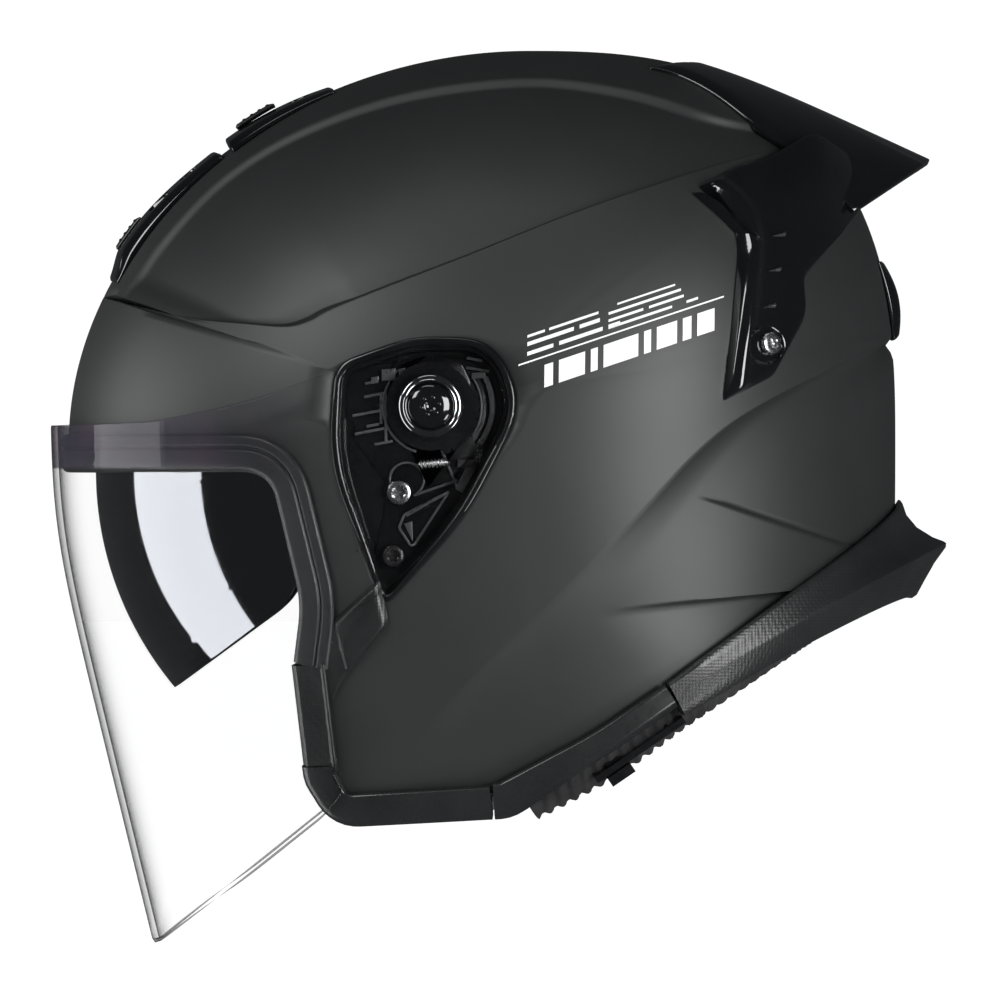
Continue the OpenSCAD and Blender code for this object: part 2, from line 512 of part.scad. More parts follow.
// Ratchet strip that the lever's pawl holds.
module buckle_tongue() color([0.1, 0.1, 0.1]) {
    difference() {
        translate([-34, -36, -126.6]) cube([36, 16, 1.6]);
        for (k = [0:4]) translate([-13 + k * 3, -37, -127]) cube([1.2, 18, 1]);
    }
}
module buckle_lever() color([0.55, 0.05, 0.05]) {
    difference() {
        union() {
            translate([-14, -38.4, -132.8]) cube([26, 20.8, 2.2]);
            translate([12, -38.4, -130]) rotate([-90, 0, 0]) cylinder(h = 20.8, r = 2.8);
            translate([4, -34, -131]) cube([2, 12, 3.6]);
        }
        translate([12, -50, -130]) rotate([-90, 0, 0]) cylinder(h = 50, r = 1.8);
    }
}

outer_shell();
impact_foam();
crown_padding();
cheek_pad(1);  // cheek_pad_left
cheek_pad(-1);  // cheek_pad_right
neck_roll();
eyeport_gasket();
cheek_trim(1);  // cheek_trim_left
cheek_trim(-1);  // cheek_trim_right
edge_trim_front(1);  // edge_trim_front_left
edge_trim_front(-1);  // edge_trim_front_right
edge_trim_side(1);  // edge_trim_side_left
edge_trim_side(-1);  // edge_trim_side_right
rear_lip();
hinge_cover(1);  // hinge_cover_left
hinge_cover(-1);  // hinge_cover_right
base_plate(1);  // base_plate_left
base_plate(-1);  // base_plate_right
ratchet(1);  // ratchet_left
ratchet(-1);  // ratchet_right
plate_screws();
lower_plate_screws();
release_lever(1);  // release_lever_left
release_lever(-1);  // release_lever_right
lever_springs();
visor();
visor_hub(1);  // visor_hub_left
visor_hub(-1);  // visor_hub_right
sun_visor();
sun_visor_pins();
sun_slider();
sun_slider_track();
spoiler_plate();
spoiler_wing(1);  // spoiler_wing_left
spoiler_wing(-1);  // spoiler_wing_right
spoiler_screws();
brow_vent();
brow_vent_slider();
crown_vent();
crown_vent_slider();
rear_vent();
strap(1);  // strap_left
strap(-1);  // strap_right
strap_anchors();
buckle_body();
buckle_lever();
buckle_pin();
buckle_tongue();
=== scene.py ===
import math
import bmesh
import bpy
import numpy as np
from mathutils import Matrix, Vector


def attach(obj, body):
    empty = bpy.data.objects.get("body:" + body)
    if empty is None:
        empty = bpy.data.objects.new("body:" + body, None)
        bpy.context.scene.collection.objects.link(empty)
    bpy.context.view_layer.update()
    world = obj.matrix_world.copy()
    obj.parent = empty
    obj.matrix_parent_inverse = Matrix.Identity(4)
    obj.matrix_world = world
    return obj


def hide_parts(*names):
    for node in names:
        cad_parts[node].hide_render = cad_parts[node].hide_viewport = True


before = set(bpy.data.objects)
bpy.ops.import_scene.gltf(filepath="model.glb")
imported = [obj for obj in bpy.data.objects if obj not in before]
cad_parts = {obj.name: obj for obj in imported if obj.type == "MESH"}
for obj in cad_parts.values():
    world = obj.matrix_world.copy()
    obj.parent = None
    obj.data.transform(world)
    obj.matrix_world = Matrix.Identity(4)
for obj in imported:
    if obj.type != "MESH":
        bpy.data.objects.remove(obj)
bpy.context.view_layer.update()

MM = 0.001

# ----------------------------------------
# Studio: a plain white floor and backdrop, soft boxes in front of the face, beside the camera,
# low behind and overhead, and a long lens that looks straight at the wearer's left side.
# ----------------------------------------
scene = bpy.context.scene
scene.view_settings.view_transform = "Standard"

camera = bpy.data.objects.new("camera", bpy.data.cameras.new("camera"))
scene.collection.objects.link(camera)
CAMERA_DISTANCE = 6.0
VIEW_CENTRE = (6.67, -26.67)
VIEW_WIDTH = 333.3
camera.data.lens = camera.data.sensor_width * CAMERA_DISTANCE / (VIEW_WIDTH * MM)
camera.location = (CAMERA_DISTANCE, VIEW_CENTRE[0] * MM, VIEW_CENTRE[1] * MM)
camera.rotation_euler = (math.radians(90), 0, math.radians(90))
scene.camera = camera

world = bpy.data.worlds.new("studio")
scene.world = world
world.use_nodes = True
world_nodes = world.node_tree.nodes
world_links = world.node_tree.links
world_nodes.clear()
world_out = world_nodes.new("ShaderNodeOutputWorld")
world_mix = world_nodes.new("ShaderNodeMixShader")
world_ray = world_nodes.new("ShaderNodeLightPath")
dim_room = world_nodes.new("ShaderNodeBackground")
white_wall = world_nodes.new("ShaderNodeBackground")
dim_room.inputs["Color"].default_value = (0.9, 0.95, 1.0, 1)
dim_room.inputs["Strength"].default_value = 0.035
white_wall.inputs["Color"].default_value = (1, 1, 1, 1)
white_wall.inputs["Strength"].default_value = 1.05
world_links.new(world_ray.outputs["Is Camera Ray"], world_mix.inputs[0])
world_links.new(dim_room.outputs[0], world_mix.inputs[1])
world_links.new(white_wall.outputs[0], world_mix.inputs[2])
world_links.new(world_mix.outputs[0], world_out.inputs[0])


def soft_box(name, place, aim, wide, high, watts, colour=(1, 1, 1)):
    lamp = bpy.data.lights.new(name, "AREA")
    lamp.shape = "RECTANGLE"
    lamp.size = wide
    lamp.size_y = high
    lamp.energy = watts
    lamp.color = colour
    box = bpy.data.objects.new(name, lamp)
    box.location = place
    box.rotation_euler = (Vector(aim) - Vector(place)).to_track_quat("-Z", "Y").to_euler()
    scene.collection.objects.link(box)
    return box


soft_box("face_box", (-0.3, -2.4, -1.0), (0, 0, -0.9), 1.86, 3.8, 60)
soft_box("key_box", (2.0, -2.2, 1.7), (0, 0, 0), 1.2, 1.2, 40)
soft_box("side_box", (2.6, 1.9, 0.3), (0, 0.03, -0.03), 1.4, 1.6, 78)
soft_box("low_box", (1.9, 2.4, -1.7), (0, 0.1, -0.08), 0.9, 0.9, 22)
soft_box("top_strip", (1.2, -0.4, 2.6), (0, 0, 0), 1.6, 0.4, 6)

FLOOR_Z = -0.27
bm = bmesh.new()
bmesh.ops.create_grid(bm, x_segments=2, y_segments=2, size=30)
bmesh.ops.translate(bm, verts=bm.verts, vec=(0, 0, FLOOR_Z))
floor = bpy.data.objects.new("floor", bpy.data.meshes.new("floor"))
bm.to_mesh(floor.data)
bm.free()
scene.collection.objects.link(floor)
floor.visible_glossy = False
floor.visible_shadow = False
floor_paint = bpy.data.materials.new("white floor")
floor_paint.use_nodes = True
floor_shader = floor_paint.node_tree.nodes["Principled BSDF"]
floor_shader.inputs["Base Color"].default_value = (0.8, 0.8, 0.8, 1)
floor_shader.inputs["Roughness"].default_value = 0.9
floor_shader.inputs["Emission Color"].default_value = (1, 1, 1, 1)
floor_shader.inputs["Emission Strength"].default_value = 1.05
floor.data.materials.append(floor_paint)

# ----------------------------------------
# Outer shell: moulded fibre under matt black lacquer. A crown, a sunk panel along each side, a long
# crease that falls from the back to the jaw, and a short one over the rear lip. It is cut out for the
# face, and left open beside each ear for the visor's hinge.
# ----------------------------------------
SHELL_CENTRE = (16.0, -7.0)
SHELL_HALF = 124.0
SHELL_WALL = 3.6
PIVOT = (-16.0, 4.0)


def shell_reach(a, d=0.0):
    c, s = math.cos(a), math.sin(a)
    long = (123.0 if c > 0 else 153.0) + d
    high = (130.0 if s > 0 else 210.0) + d
    n = 2.7 if c > 0 else (1.95 if s > 0 else 2.2)
    return ((abs(c) / long) ** n + (abs(s) / high) ** n) ** (-1 / n)


def on_shell(p, d=0.0):
    """p is a direction from the ear in degrees, and d is how far outside the shell's face."""
    f = math.radians(min(90.0, math.hypot(*p)))
    a = math.atan2(p[1], p[0])
    r = shell_reach(a, d) * math.sin(f)
    x = (SHELL_HALF + d) * max(0.0, 1 - math.sin(f) ** 2.2) ** (1 / 2.2)
    return Vector((x, SHELL_CENTRE[0] + r * math.cos(a), SHELL_CENTRE[1] + r * math.sin(a)))


def shell_spot(q, d=0.0):
    y, z = q[0] - SHELL_CENTRE[0], q[1] - SHELL_CENTRE[1]
    a = math.atan2(z, y)
    f = math.degrees(math.asin(min(1.0, math.hypot(y, z) / shell_reach(a, d))))
    return (f * math.cos(a), f * math.sin(a))


def on_roof(x, a, d=0.0):
    """A point near the centre line, from its sideways distance and its angle round the side view."""
    k = (1 - (abs(x) / SHELL_HALF) ** 2.2) ** (1 / 2.2)
    r = shell_reach(math.radians(a), d) * k
    return Vector((x, SHELL_CENTRE[0] + r * math.cos(math.radians(a)),
                   SHELL_CENTRE[1] + r * math.sin(math.radians(a))))


def smooth(t):
    t = min(1.0, max(0.0, t))
    return t * t * (3 - 2 * t)


def rounded(points, closed=False, steps=4):
    """An outline with its corners bent: a third number is how far back a corner's curve begins."""
    out = []
    n = len(points)
    for i, p in enumerate(points):
        here = Vector(p[:2])
        if len(p) < 3 or (not closed and i in (0, n - 1)):
            out.append(here)
            continue
        before = here + (Vector(points[i - 1][:2]) - here).normalized() * p[2]
        after = here + (Vector(points[(i + 1) % n][:2]) - here).normalized() * p[2]
        for k in range(steps + 1):
            t = k / steps
            out.append(before * (1 - t) ** 2 + here * (2 * t * (1 - t)) + after * t * t)
    return out


def dense(points, step, closed=False):
    out = []
    count = len(points) if closed else len(points) - 1
    for i in range(count):
        a, b = points[i], points[(i + 1) % len(points)]
        k = max(1, math.ceil((b - a).length / step))
        out += [a + (b - a) * (j / k) for j in range(k)]
    if not closed:
        out.append(points[-1])
    return out


def flowing(points, per=8):
    """A smooth curve through the points."""
    v = [Vector(p) for p in points]
    v = [v[0] * 2 - v[1]] + v + [v[-1] * 2 - v[-2]]
    out = []
    for i in range(1, len(v) - 2):
        for k in range(per):
            t = k / per
            out.append(0.5 * ((2 * v[i]) + (v[i + 1] - v[i - 1]) * t
                              + (2 * v[i - 1] - 5 * v[i] + 4 * v[i + 1] - v[i + 2]) * t * t
                              + (3 * v[i] - v[i - 1] - 3 * v[i + 1] + v[i + 2]) * t ** 3))
    out.append(v[-2])
    return out


def around(curve, pole, spot):
    """Angle and distance from a pole, in degrees, of each point of a curve in the side view."""
    flat = [spot(q) for q in curve]
    angles = [math.degrees(math.atan2(p[1] - pole[1], p[0] - pole[0])) % 360 for p in flat]
    return angles, [math.hypot(p[0] - pole[0], p[1] - pole[1]) for p in flat]


def at_angle(table, a):
    return float(np.interp(a % 360, table[0], table[1], period=360))


def to_midline(pole, a):
    """Distance from the pole to the centre line, where directions are 90 degrees from the ear."""
    u = (math.cos(math.radians(a)), math.sin(math.radians(a)))
    along = pole[0] * u[0] + pole[1] * u[1]
    return -along + math.sqrt(along * along + 90.0 ** 2 - pole[0] ** 2 - pole[1] ** 2)


BROW_Z = -14
EYEPORT_EDGE = [(-137, BROW_Z), (-66, BROW_Z, 12), (-55, -60, 8), (-58, -80, 6), (-54, -116, 8),
                (-45, -127, 6)]
LOWER_EDGE = [(8, -124, 8), (40, -107, 10), (63, -91, 10), (101, -68, 10), (138, -47)]
EAR_OUTLINE = [(-22, 25.5, 8), (4, 25, 11), (13, 4, 11), (-6, -32, 12), (-31, -60, 3), (-36, -46, 4),
               (-48, -14, 14), (-46, 17, 6)]
PANEL_FOOT = [(-118, 38), (-96, 33), (-76, 31), (-63, 30), (-55, 32), (-45, 37), (-4, 53), (33, 68),
              (80, 84), (110, 92)]
CROWN_LINE = [(-118, 41), (-106, 59), (-86, 80), (-60, 96), (-25, 108), (16, 113), (50, 109), (80, 100),
              (112, 93)]
LONG_CREASE = [(137, 27), (110, 14), (86, 1), (70, -12), (54, -29), (26, -58), (0, -83), (-28, -112)]
SHORT_CREASE = [(34, -64.5), (40, -64), (70, -60.5), (100, -57), (135, -52)]

pole = shell_spot(PIVOT)
ear_line = around(dense(rounded(EAR_OUTLINE, True), 1, True), pole, shell_spot)
free_line = around(dense(rounded(EYEPORT_EDGE + LOWER_EDGE), 1), pole, shell_spot)
FRONT_ANGLE = free_line[0][0]
REAR_ANGLE = free_line[0][-1]
foot_line = around(flowing(PANEL_FOOT), pole, shell_spot)
crown_line = around(flowing(CROWN_LINE), pole, shell_spot)
long_line = around(flowing(LONG_CREASE), pole, shell_spot)
short_line = around(flowing(SHORT_CREASE), pole, shell_spot)


def sorted_table(table):
    order = sorted(range(len(table[0])), key=lambda i: table[0][i])
    return [table[0][i] for i in order], [table[1][i] for i in order]


ear_line, foot_line, crown_line = sorted_table(ear_line), sorted_table(foot_line), sorted_table(crown_line)
long_line = ([a if a > 180 else a + 360 for a in long_line[0]], long_line[1])
short_line = ([a if a > 180 else a + 360 for a in short_line[0]], short_line[1])
long_line, short_line = sorted_table(long_line), sorted_table(short_line)


def shell_rows(a):
    """For one direction round the hinge: the four feature lines' distances, their widths and their depths."""
    low = a % 360
    turn = low if low > 180 else low + 360
    if 34 <= low <= 160.5:
        first, second = at_angle(foot_line, low), at_angle(crown_line, low)
        second = max(second, first + 0.3)
        w1 = 0.7 + 1.1 * smooth((low - 125) / 20)
        ends = smooth((160.5 - low) / 5) * smooth((low - 34) / 14)
        return first, w1, second - 2.1, 2.1, (0.8 + 1.7 * smooth((low - 125) / 20)) * ends, 2.2 * ends, 0, 0
    if turn > 262:
        first = float(np.interp(turn, long_line[0], long_line[1], right=150))
        second = float(np.interp(turn, short_line[0], short_line[1], right=150))
        deep1 = 3.0 * smooth((turn - 262) / 26)
        deep2 = 3.4 * smooth((turn - short_line[0][0]) / 24)
        wide1 = 3.4 + 2.6 * smooth((turn - 275) / 50)
        return first, wide1, second, 1.5 + 2.5 * smooth((turn - short_line[0][0]) / 30), 0, 0, deep1, deep2
    return 150, 4, 150, 4, 0, 0, 0, 0


def shell_shape(a, r):
    """How far the shell's face stands in or out of the plain form."""
    first, w1, second, w2, sink1, sink2, deep1, deep2 = shell_rows(a)
    if sink1 or sink2:
        across = min(1.0, max(0.0, (r - first - w1) / max(0.5, second - first - w1)))
        sink = sink1 + (sink2 - sink1) * across
        return -sink * smooth((r - first) / w1) * (1 - smooth((r - second) / w2))
    d = 0.0
    for line, wide, deep in ((first, w1, deep1), (second, w2, deep2)):
        if deep and r > line:
            t = min(1.0, (r - line) / wide)
            d -= deep * (1 - (1 - t) ** 2.2) * (1 - 0.8 * smooth((r - line - wide) / 24))
    return d


def shell_columns(a, start, end):
    """Distances of the mesh's columns, with close ones on each side of every feature line."""
    first, w1, second, w2 = shell_rows(a)[:4]
    marks = [first - 0.35, first, first + w1, second - 0.35, second, second + w2, second + w2 + 0.4]
    out = [start]
    for k, m in enumerate(marks):
        room = (len(marks) - k) * 0.35
        out.append(min(max(m, out[-1] + 0.35), end - room))
    out.append(end)
    counts = (13, 1, 8, 12, 1, 7, 1, 8)
    cols = []
    for k, count in enumerate(counts):
        cols += [out[k] + (out[k + 1] - out[k]) * j / count for j in range(count)]
    return cols + [end]


def grid(rows, columns, bm):
    """A flat sheet of faces and, for each corner, its row and column."""
    made = bmesh.ops.create_grid(bm, x_segments=columns, y_segments=rows, size=0.5)["verts"]
    spots = [(v, round((v.co.y + 0.5) * rows), round((v.co.x + 0.5) * columns)) for v in made]
    return made, spots


def make_piece(bm, name, material, body="helmet", replaces=(), sharp=32, tidy=True,
               mirror=False):
    """Turns a mesh in millimetres into a finished piece that rides on a body."""
    if mirror:
        bmesh.ops.mirror(bm, geom=bm.verts[:] + bm.edges[:] + bm.faces[:], matrix=Matrix(),
                         merge_dist=0.001, axis="X")
    if tidy:
        bmesh.ops.remove_doubles(bm, verts=bm.verts, dist=0.002)
        bmesh.ops.dissolve_degenerate(bm, edges=bm.edges, dist=0.001)
        bmesh.ops.recalc_face_normals(bm, faces=bm.faces)
    bmesh.ops.scale(bm, vec=(MM, MM, MM), verts=bm.verts)
    mesh = bpy.data.meshes.new(name)
    bm.to_mesh(mesh)
    bm.free()
    mesh.shade_smooth()
    mesh.set_sharp_from_angle(angle=math.radians(sharp))
    piece = bpy.data.objects.new(name, mesh)
    scene.collection.objects.link(piece)
    for m in (material if isinstance(material, (list, tuple)) else [material]):
        mesh.materials.append(m)
    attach(piece, body)
    if replaces:
        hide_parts(*replaces)
    return piece


def wall(piece, thick, offset=-1, rim=0):
    m = piece.modifiers.new("wall", "SOLIDIFY")
    m.thickness = thick * MM
    m.offset = offset
    m.use_even_offset = False
    m.material_offset_rim = rim
    return m


def surface(name, colour, rough, metal=0.0, spec=0.5, coat=0.0):
    """A material with its own shader."""
    m = bpy.data.materials.new(name)
    m.use_nodes = True
    tree = m.node_tree
    shader = tree.nodes["Principled BSDF"]
    shader.inputs["Base Color"].default_value = (*colour, 1)
    shader.inputs["Roughness"].default_value = rough
    shader.inputs["Metallic"].default_value = metal
    shader.inputs["Specular IOR Level"].default_value = spec
    shader.inputs["Coat Weight"].default_value = coat
    return m


def put(m, kind, links=(), **values):
    """Adds a node: values are its settings or socket values, and links feed its sockets."""
    node = m.node_tree.nodes.new(kind)
    for key, value in values.items():
        if hasattr(node, key):
            setattr(node, key, value)
        else:
            node.inputs[key.replace("_", " ")].default_value = value
    for socket, source in links:
        m.node_tree.links.new(source, node.inputs[socket])
    return node


def join(m, source, socket):
    m.node_tree.links.new(source, m.node_tree.nodes["Principled BSDF"].inputs[socket])


def object_place(m):
    return put(m, "ShaderNodeTexCoord").outputs["Object"]


def stretch(m, source, low, high, to_low=0.0, to_high=1.0):
    """A value moved from one range to another."""
    node = put(m, "ShaderNodeMapRange", [("Value", source)], From_Min=low, From_Max=high)
    node.inputs["To Min"].default_value = to_low
    node.inputs["To Max"].default_value = to_high
    return node.outputs["Result"]


def blend(m, source, low, low_colour, high, high_colour):
    """Two colours that a value passes between."""
    node = put(m, "ShaderNodeValToRGB", [("Fac", source)])
    for stop, at, colour in zip(node.color_ramp.elements, (low, high), (low_colour, high_colour)):
        stop.position = at
        stop.color = (*colour, 1)
    return node.outputs["Color"]


def raised(m, height, strength, depth):
    """Fine relief in the finish; the depth is in metres."""
    node = put(m, "ShaderNodeBump", [("Height", height)], Strength=strength, Distance=depth)
    join(m, node.outputs["Normal"], "Normal")
    return node


def reckon(m, operation, *values):
    """A sum on numbers and other nodes' results."""
    node = put(m, "ShaderNodeMath", operation=operation)
    for k, value in enumerate(values):
        if isinstance(value, float):
            node.inputs[k].default_value = value
        else:
            m.node_tree.links.new(value, node.inputs[k])
    return node.outputs[0]


def mottled(name, dark, light, rough_low, rough_high, scale=40.0, grain=900.0, bump=0.05,
            metal=0.0, spec=0.5, coat=0.0):
    """A material whose colour and roughness drift across the surface, over a fine grain."""
    m = surface(name, light, rough_high, metal, spec, coat)
    where = object_place(m)
    drift = put(m, "ShaderNodeTexNoise", [("Vector", where)], Scale=scale, Detail=5.0, Roughness=0.6)
    join(m, blend(m, drift.outputs["Fac"], 0.3, dark, 0.7, light), "Base Color")
    fine = put(m, "ShaderNodeTexNoise", [("Vector", where)], Scale=grain, Detail=3.0)
    join(m, stretch(m, fine.outputs["Fac"], 0.3, 0.7, rough_low, rough_high), "Roughness")
    if bump:
        raised(m, fine.outputs["Fac"], bump, 0.0002)
    return m


matt_lacquer = mottled("matt black lacquer", (0.0135, 0.0145, 0.0145), (0.0165, 0.0178, 0.0178), 0.44,
                       0.5, 25, 2600, 0.06, spec=0.6)

crown_rows, open_rows = 190, 150
steps = [REAR_ANGLE - 360 + (FRONT_ANGLE - REAR_ANGLE + 360) * k / crown_rows
         for k in range(crown_rows)]
steps += [FRONT_ANGLE + (REAR_ANGLE - FRONT_ANGLE) * k / open_rows for k in range(open_rows + 1)]
free_table = sorted_table(free_line)
bm = bmesh.new()
made, spots = grid(len(steps) - 1, 51, bm)
column_cache = []
for k, a in enumerate(steps):
    start = at_angle(ear_line, a)
    end = to_midline(pole, a) if k < crown_rows else at_angle(free_table, a)
    column_cache.append(shell_columns(a, start, end))
for v, i, j in spots:
    a, r = steps[i], column_cache[i][j]
    p = (pole[0] + r * math.cos(math.radians(a)), pole[1] + r * math.sin(math.radians(a)))
    at = on_shell(p, shell_shape(a, r))
    if j == 51 and (i < crown_rows or i in (crown_rows, len(steps) - 1)):
        at.x = 0
    v.co = at
shell = make_piece(bm, "shell", matt_lacquer, replaces=["outer_shell"], sharp=60,
                   mirror=True)
wall(shell, SHELL_WALL)


# ----------------------------------------
# Impact foam: beads of polystyrene moulded to the inside of the shell, 28 mm deep, painted black.
# ----------------------------------------
def half_skin(bm, edge, pole, spot, place, rings, turns=200, start=0.0, under=None):
    """One half of a skin: rows turn about a pole, and columns run out to the free edge or the centre line.
    With a place for its underside, the skin folds round the free edge into a closed body."""
    angles, reach = around(edge, pole, spot)
    angles = list(np.degrees(np.unwrap(np.radians(angles))))
    if angles[-1] < angles[0]:
        angles, reach = angles[::-1], reach[::-1]
    angles = list(np.maximum.accumulate(np.array(angles) + np.arange(len(angles)) * 1e-7))
    first, last = angles[0], angles[-1]
    on_edge = max(8, round(turns * (last - first) / 360))
    on_line = turns - on_edge
    rows = [first + (last - first) * k / on_edge for k in range(on_edge)]
    rows += [last + (first + 360 - last) * k / on_line for k in range(on_line + 1)]
    columns = 2 * rings + 1 if under else rings
    made, spots = grid(len(rows) - 1, columns, bm)
    for v, i, j in spots:
        a = rows[i]
        end = float(np.interp(a, angles, reach)) if i < on_edge else to_midline(pole, a)
        k = min(j, columns - j) if under else j
        r = start + (end - start) * k / rings
        p = (pole[0] + r * math.cos(math.radians(a)), pole[1] + r * math.sin(math.radians(a)))
        v.co = under(p) if under and j > rings else place(p, end - r)
        if k == rings and (i >= on_edge or i == 0):
            v.co.x = 0
    if under:
        middle = [f for f in bm.faces if all(abs(v.co.x) < 0.01 for v in f.verts)]
        bmesh.ops.delete(bm, geom=middle, context="FACES_ONLY")
    return made


def even(points, step):
    """Points spaced evenly along an outline."""
    pts = [Vector(p) for p in points]
    run = np.concatenate([[0], np.cumsum([(b - a).length for a, b in zip(pts, pts[1:])])])
    count = max(2, round(run[-1] / step))
    at = np.linspace(0, run[-1], count + 1)
    return [Vector([float(np.interp(t, run, [p[k] for p in pts])) for k in range(len(pts[0]))])
            for t in at]


bead_foam = mottled("bead foam", (0.012, 0.012, 0.012), (0.022, 0.022, 0.022), 0.7, 0.9)
beads = put(bead_foam, "ShaderNodeTexVoronoi", [("Vector", object_place(bead_foam))], Scale=260.0)
raised(bead_foam, beads.outputs["Distance"], 0.5, 0.0006)

FOAM_EDGE = [(-131, -8), (-64, -8, 8), (-50, -31, 6), (46, -35, 6), (54, -78, 6), (104, -60, 8),
             (133, -43)]
FOAM_FACE = -4.8
FOAM_DEPTH = 28.0
FOAM_HALF_WIDTH = 109.5
DEEPEST_SINK = 20.0
SWING_CENTRE = (-16.0, -17.0)
SWING_ROOM = (101.8, 108.8)
PIN_ROOM = 26.0
foam_pole = shell_spot((12, 34))


def foam_skin(p, from_edge):
    """The foam's outer face, sunk where the sun visor swings behind the shell."""
    depth = FOAM_FACE - 5.0 * (1 - min(1.0, from_edge / 4)) ** 2
    at = on_shell(p, depth)
    while depth > FOAM_FACE - DEEPEST_SINK:
        y, z = at.y - SWING_CENTRE[0], at.z - SWING_CENTRE[1]
        reach = math.hypot(y, z)
        behind_visor = (abs(at.x) / SWING_ROOM[0]) ** 2.2 + (reach / SWING_ROOM[1]) ** 2.2 < 1
        if behind_visor or not (reach < PIN_ROOM or (y < 0 and 0.6 * y + 0.8 * z < 17)):
            break
        depth -= 0.4
        at = on_shell(p, depth)
    at.x = min(at.x, FOAM_HALF_WIDTH)
    return at


bm = bmesh.new()
half_skin(bm, dense(rounded(FOAM_EDGE), 1), foam_pole, lambda q: shell_spot(q, -4), foam_skin, 40, 170,
          under=lambda p: on_shell(p, FOAM_FACE - FOAM_DEPTH))
make_piece(bm, "foam", bead_foam, replaces=["impact_foam"], mirror=True)

# ----------------------------------------
# Crown padding: brushed knit over soft foam, stitched into channels that run front to back.
# ----------------------------------------
brushed_knit = mottled("brushed knit", (0.022, 0.022, 0.024), (0.045, 0.045, 0.048), 0.8, 0.95, 60,
                       1400, 0.5, spec=0.2)
brushed_knit.node_tree.nodes["Principled BSDF"].inputs["Sheen Weight"].default_value = 0.25

PADDING_EDGE = [(-92, 0), (-66, -2, 8), (-40, -24, 8), (44, -26, 6), (58, -62, 8), (80, -58, 8),
                (103, -40)]
PADDING_FACE = -35.6
PADDING_DEPTH = 6.0


def padding_skin(p, from_edge):
    at = on_shell(p, PADDING_FACE)
    channel = abs(math.sin(math.radians(at.x * 6.4)))
    cross = abs(math.sin(math.radians((at.y + 8) * 3.1)))
    sink = -2.4 * (1 - channel ** 0.35) - 1.6 * (1 - cross ** 0.25)
    sink -= 3.0 * (1 - min(1.0, from_edge / 5)) ** 2
    return on_shell(p, PADDING_FACE - PADDING_DEPTH + 0.4 - sink)


bm = bmesh.new()
half_skin(bm, dense(rounded(PADDING_EDGE), 1), foam_pole, lambda q: shell_spot(q, -38), padding_skin,
          60, 260)
padding = make_piece(bm, "crown_lining", brushed_knit, replaces=["crown_padding"],
                     mirror=True, sharp=80)
wall(padding, 2.2, offset=1)

# ----------------------------------------
# Cheek pads: thick foam under knit, with honeycomb print on the underside. They press into the
# lower shell with snaps, and the print shows below the front edge trims.
# ----------------------------------------
def closed_pad(bm, outline, pole, spot, top, under, rings, step, inner_rings=4):
    """A closed body about a pole: out over the top to the outline, round the edge, and back underneath."""
    angles, reach = around(dense(rounded(outline, True, 6), 0.5, True), pole, spot)
    order = sorted(range(len(angles)), key=lambda i: angles[i])
    angles, reach = [angles[i] for i in order], [reach[i] for i in order]
    count = max(24, round(360 / step))
    columns = rings + inner_rings
    made, spots = grid(count, columns, bm)
    for v, i, j in spots:
        a = 360 * (i % count) / count
        end = float(np.interp(a, angles, reach, period=360))
        if j <= rings:
            share = 1 - (1 - j / rings) ** 1.6
            r = end * share
        else:
            r = end * (columns - j) / inner_rings
        p = (pole[0] + r * math.cos(math.radians(a)), pole[1] + r * math.sin(math.radians(a)))
        v.co = top(p, end - r) if j <= rings else under(p)
    return made


honeycomb_knit = mottled("honeycomb knit", (0.02, 0.021, 0.022), (0.034, 0.036, 0.037), 0.8, 0.95, 60,
                         1500, 0.35, spec=0.25)
CELL = (0.0105, 0.00606, 1.0)
flat_place = put(honeycomb_knit, "ShaderNodeMapping", [("Vector", object_place(honeycomb_knit))],
                 Rotation=(0.0, math.radians(-90), 0.0))
near_centre = []
for shift in (0.0, 0.5):
    moved = put(honeycomb_knit, "ShaderNodeVectorMath", [(0, flat_place.outputs[0])], operation="ADD")
    moved.inputs[1].default_value = (CELL[0] * shift + 1.05, CELL[1] * shift + 1.0302, 0)
    wrapped = put(honeycomb_knit, "ShaderNodeVectorMath", [(0, moved.outputs[0])], operation="MODULO")
    wrapped.inputs[1].default_value = CELL
    middle = put(honeycomb_knit, "ShaderNodeVectorMath", [(0, wrapped.outputs[0])],
                 operation="SUBTRACT")
    middle.inputs[1].default_value = (CELL[0] / 2, CELL[1] / 2, 0)
    flat = put(honeycomb_knit, "ShaderNodeVectorMath", [(0, middle.outputs[0])], operation="MULTIPLY")
    flat.inputs[1].default_value = (1, 1, 0)
    near_centre.append(put(honeycomb_knit, "ShaderNodeVectorMath", [(0, flat.outputs[0])],
                           operation="LENGTH"))
nearest = reckon(honeycomb_knit, "MINIMUM", *[node.outputs["Value"] for node in near_centre])
cell_edge = stretch(honeycomb_knit, nearest, 0.0026, 0.0029)
print_tint = put(honeycomb_knit, "ShaderNodeMix", [("Factor", cell_edge)], data_type="RGBA")
print_tint.inputs["A"].default_value = (0.055, 0.06, 0.062, 1)
print_tint.inputs["B"].default_value = (0.012, 0.013, 0.014, 1)
join(honeycomb_knit, print_tint.outputs["Result"], "Base Color")

CHEEK_OUTLINE = [(-50, -112, 8), (-42, -133, 4), (-14, -139, 6), (6, -136, 4), (10, -104, 6),
                 (47, -82, 6),
                 (40, -42, 8), (-48, -42, 5)]
cheek_pole = shell_spot((-4, -88), -4)


def cheek_outside(p, from_edge):
    z = on_shell(p, -6).z
    face = -9.0 if z < -116 else -6.5 - 9.0 * smooth((z + 78) / 14)
    return on_shell(p, face - 6.0 * (1 - min(1.0, from_edge / 3)) ** 2)


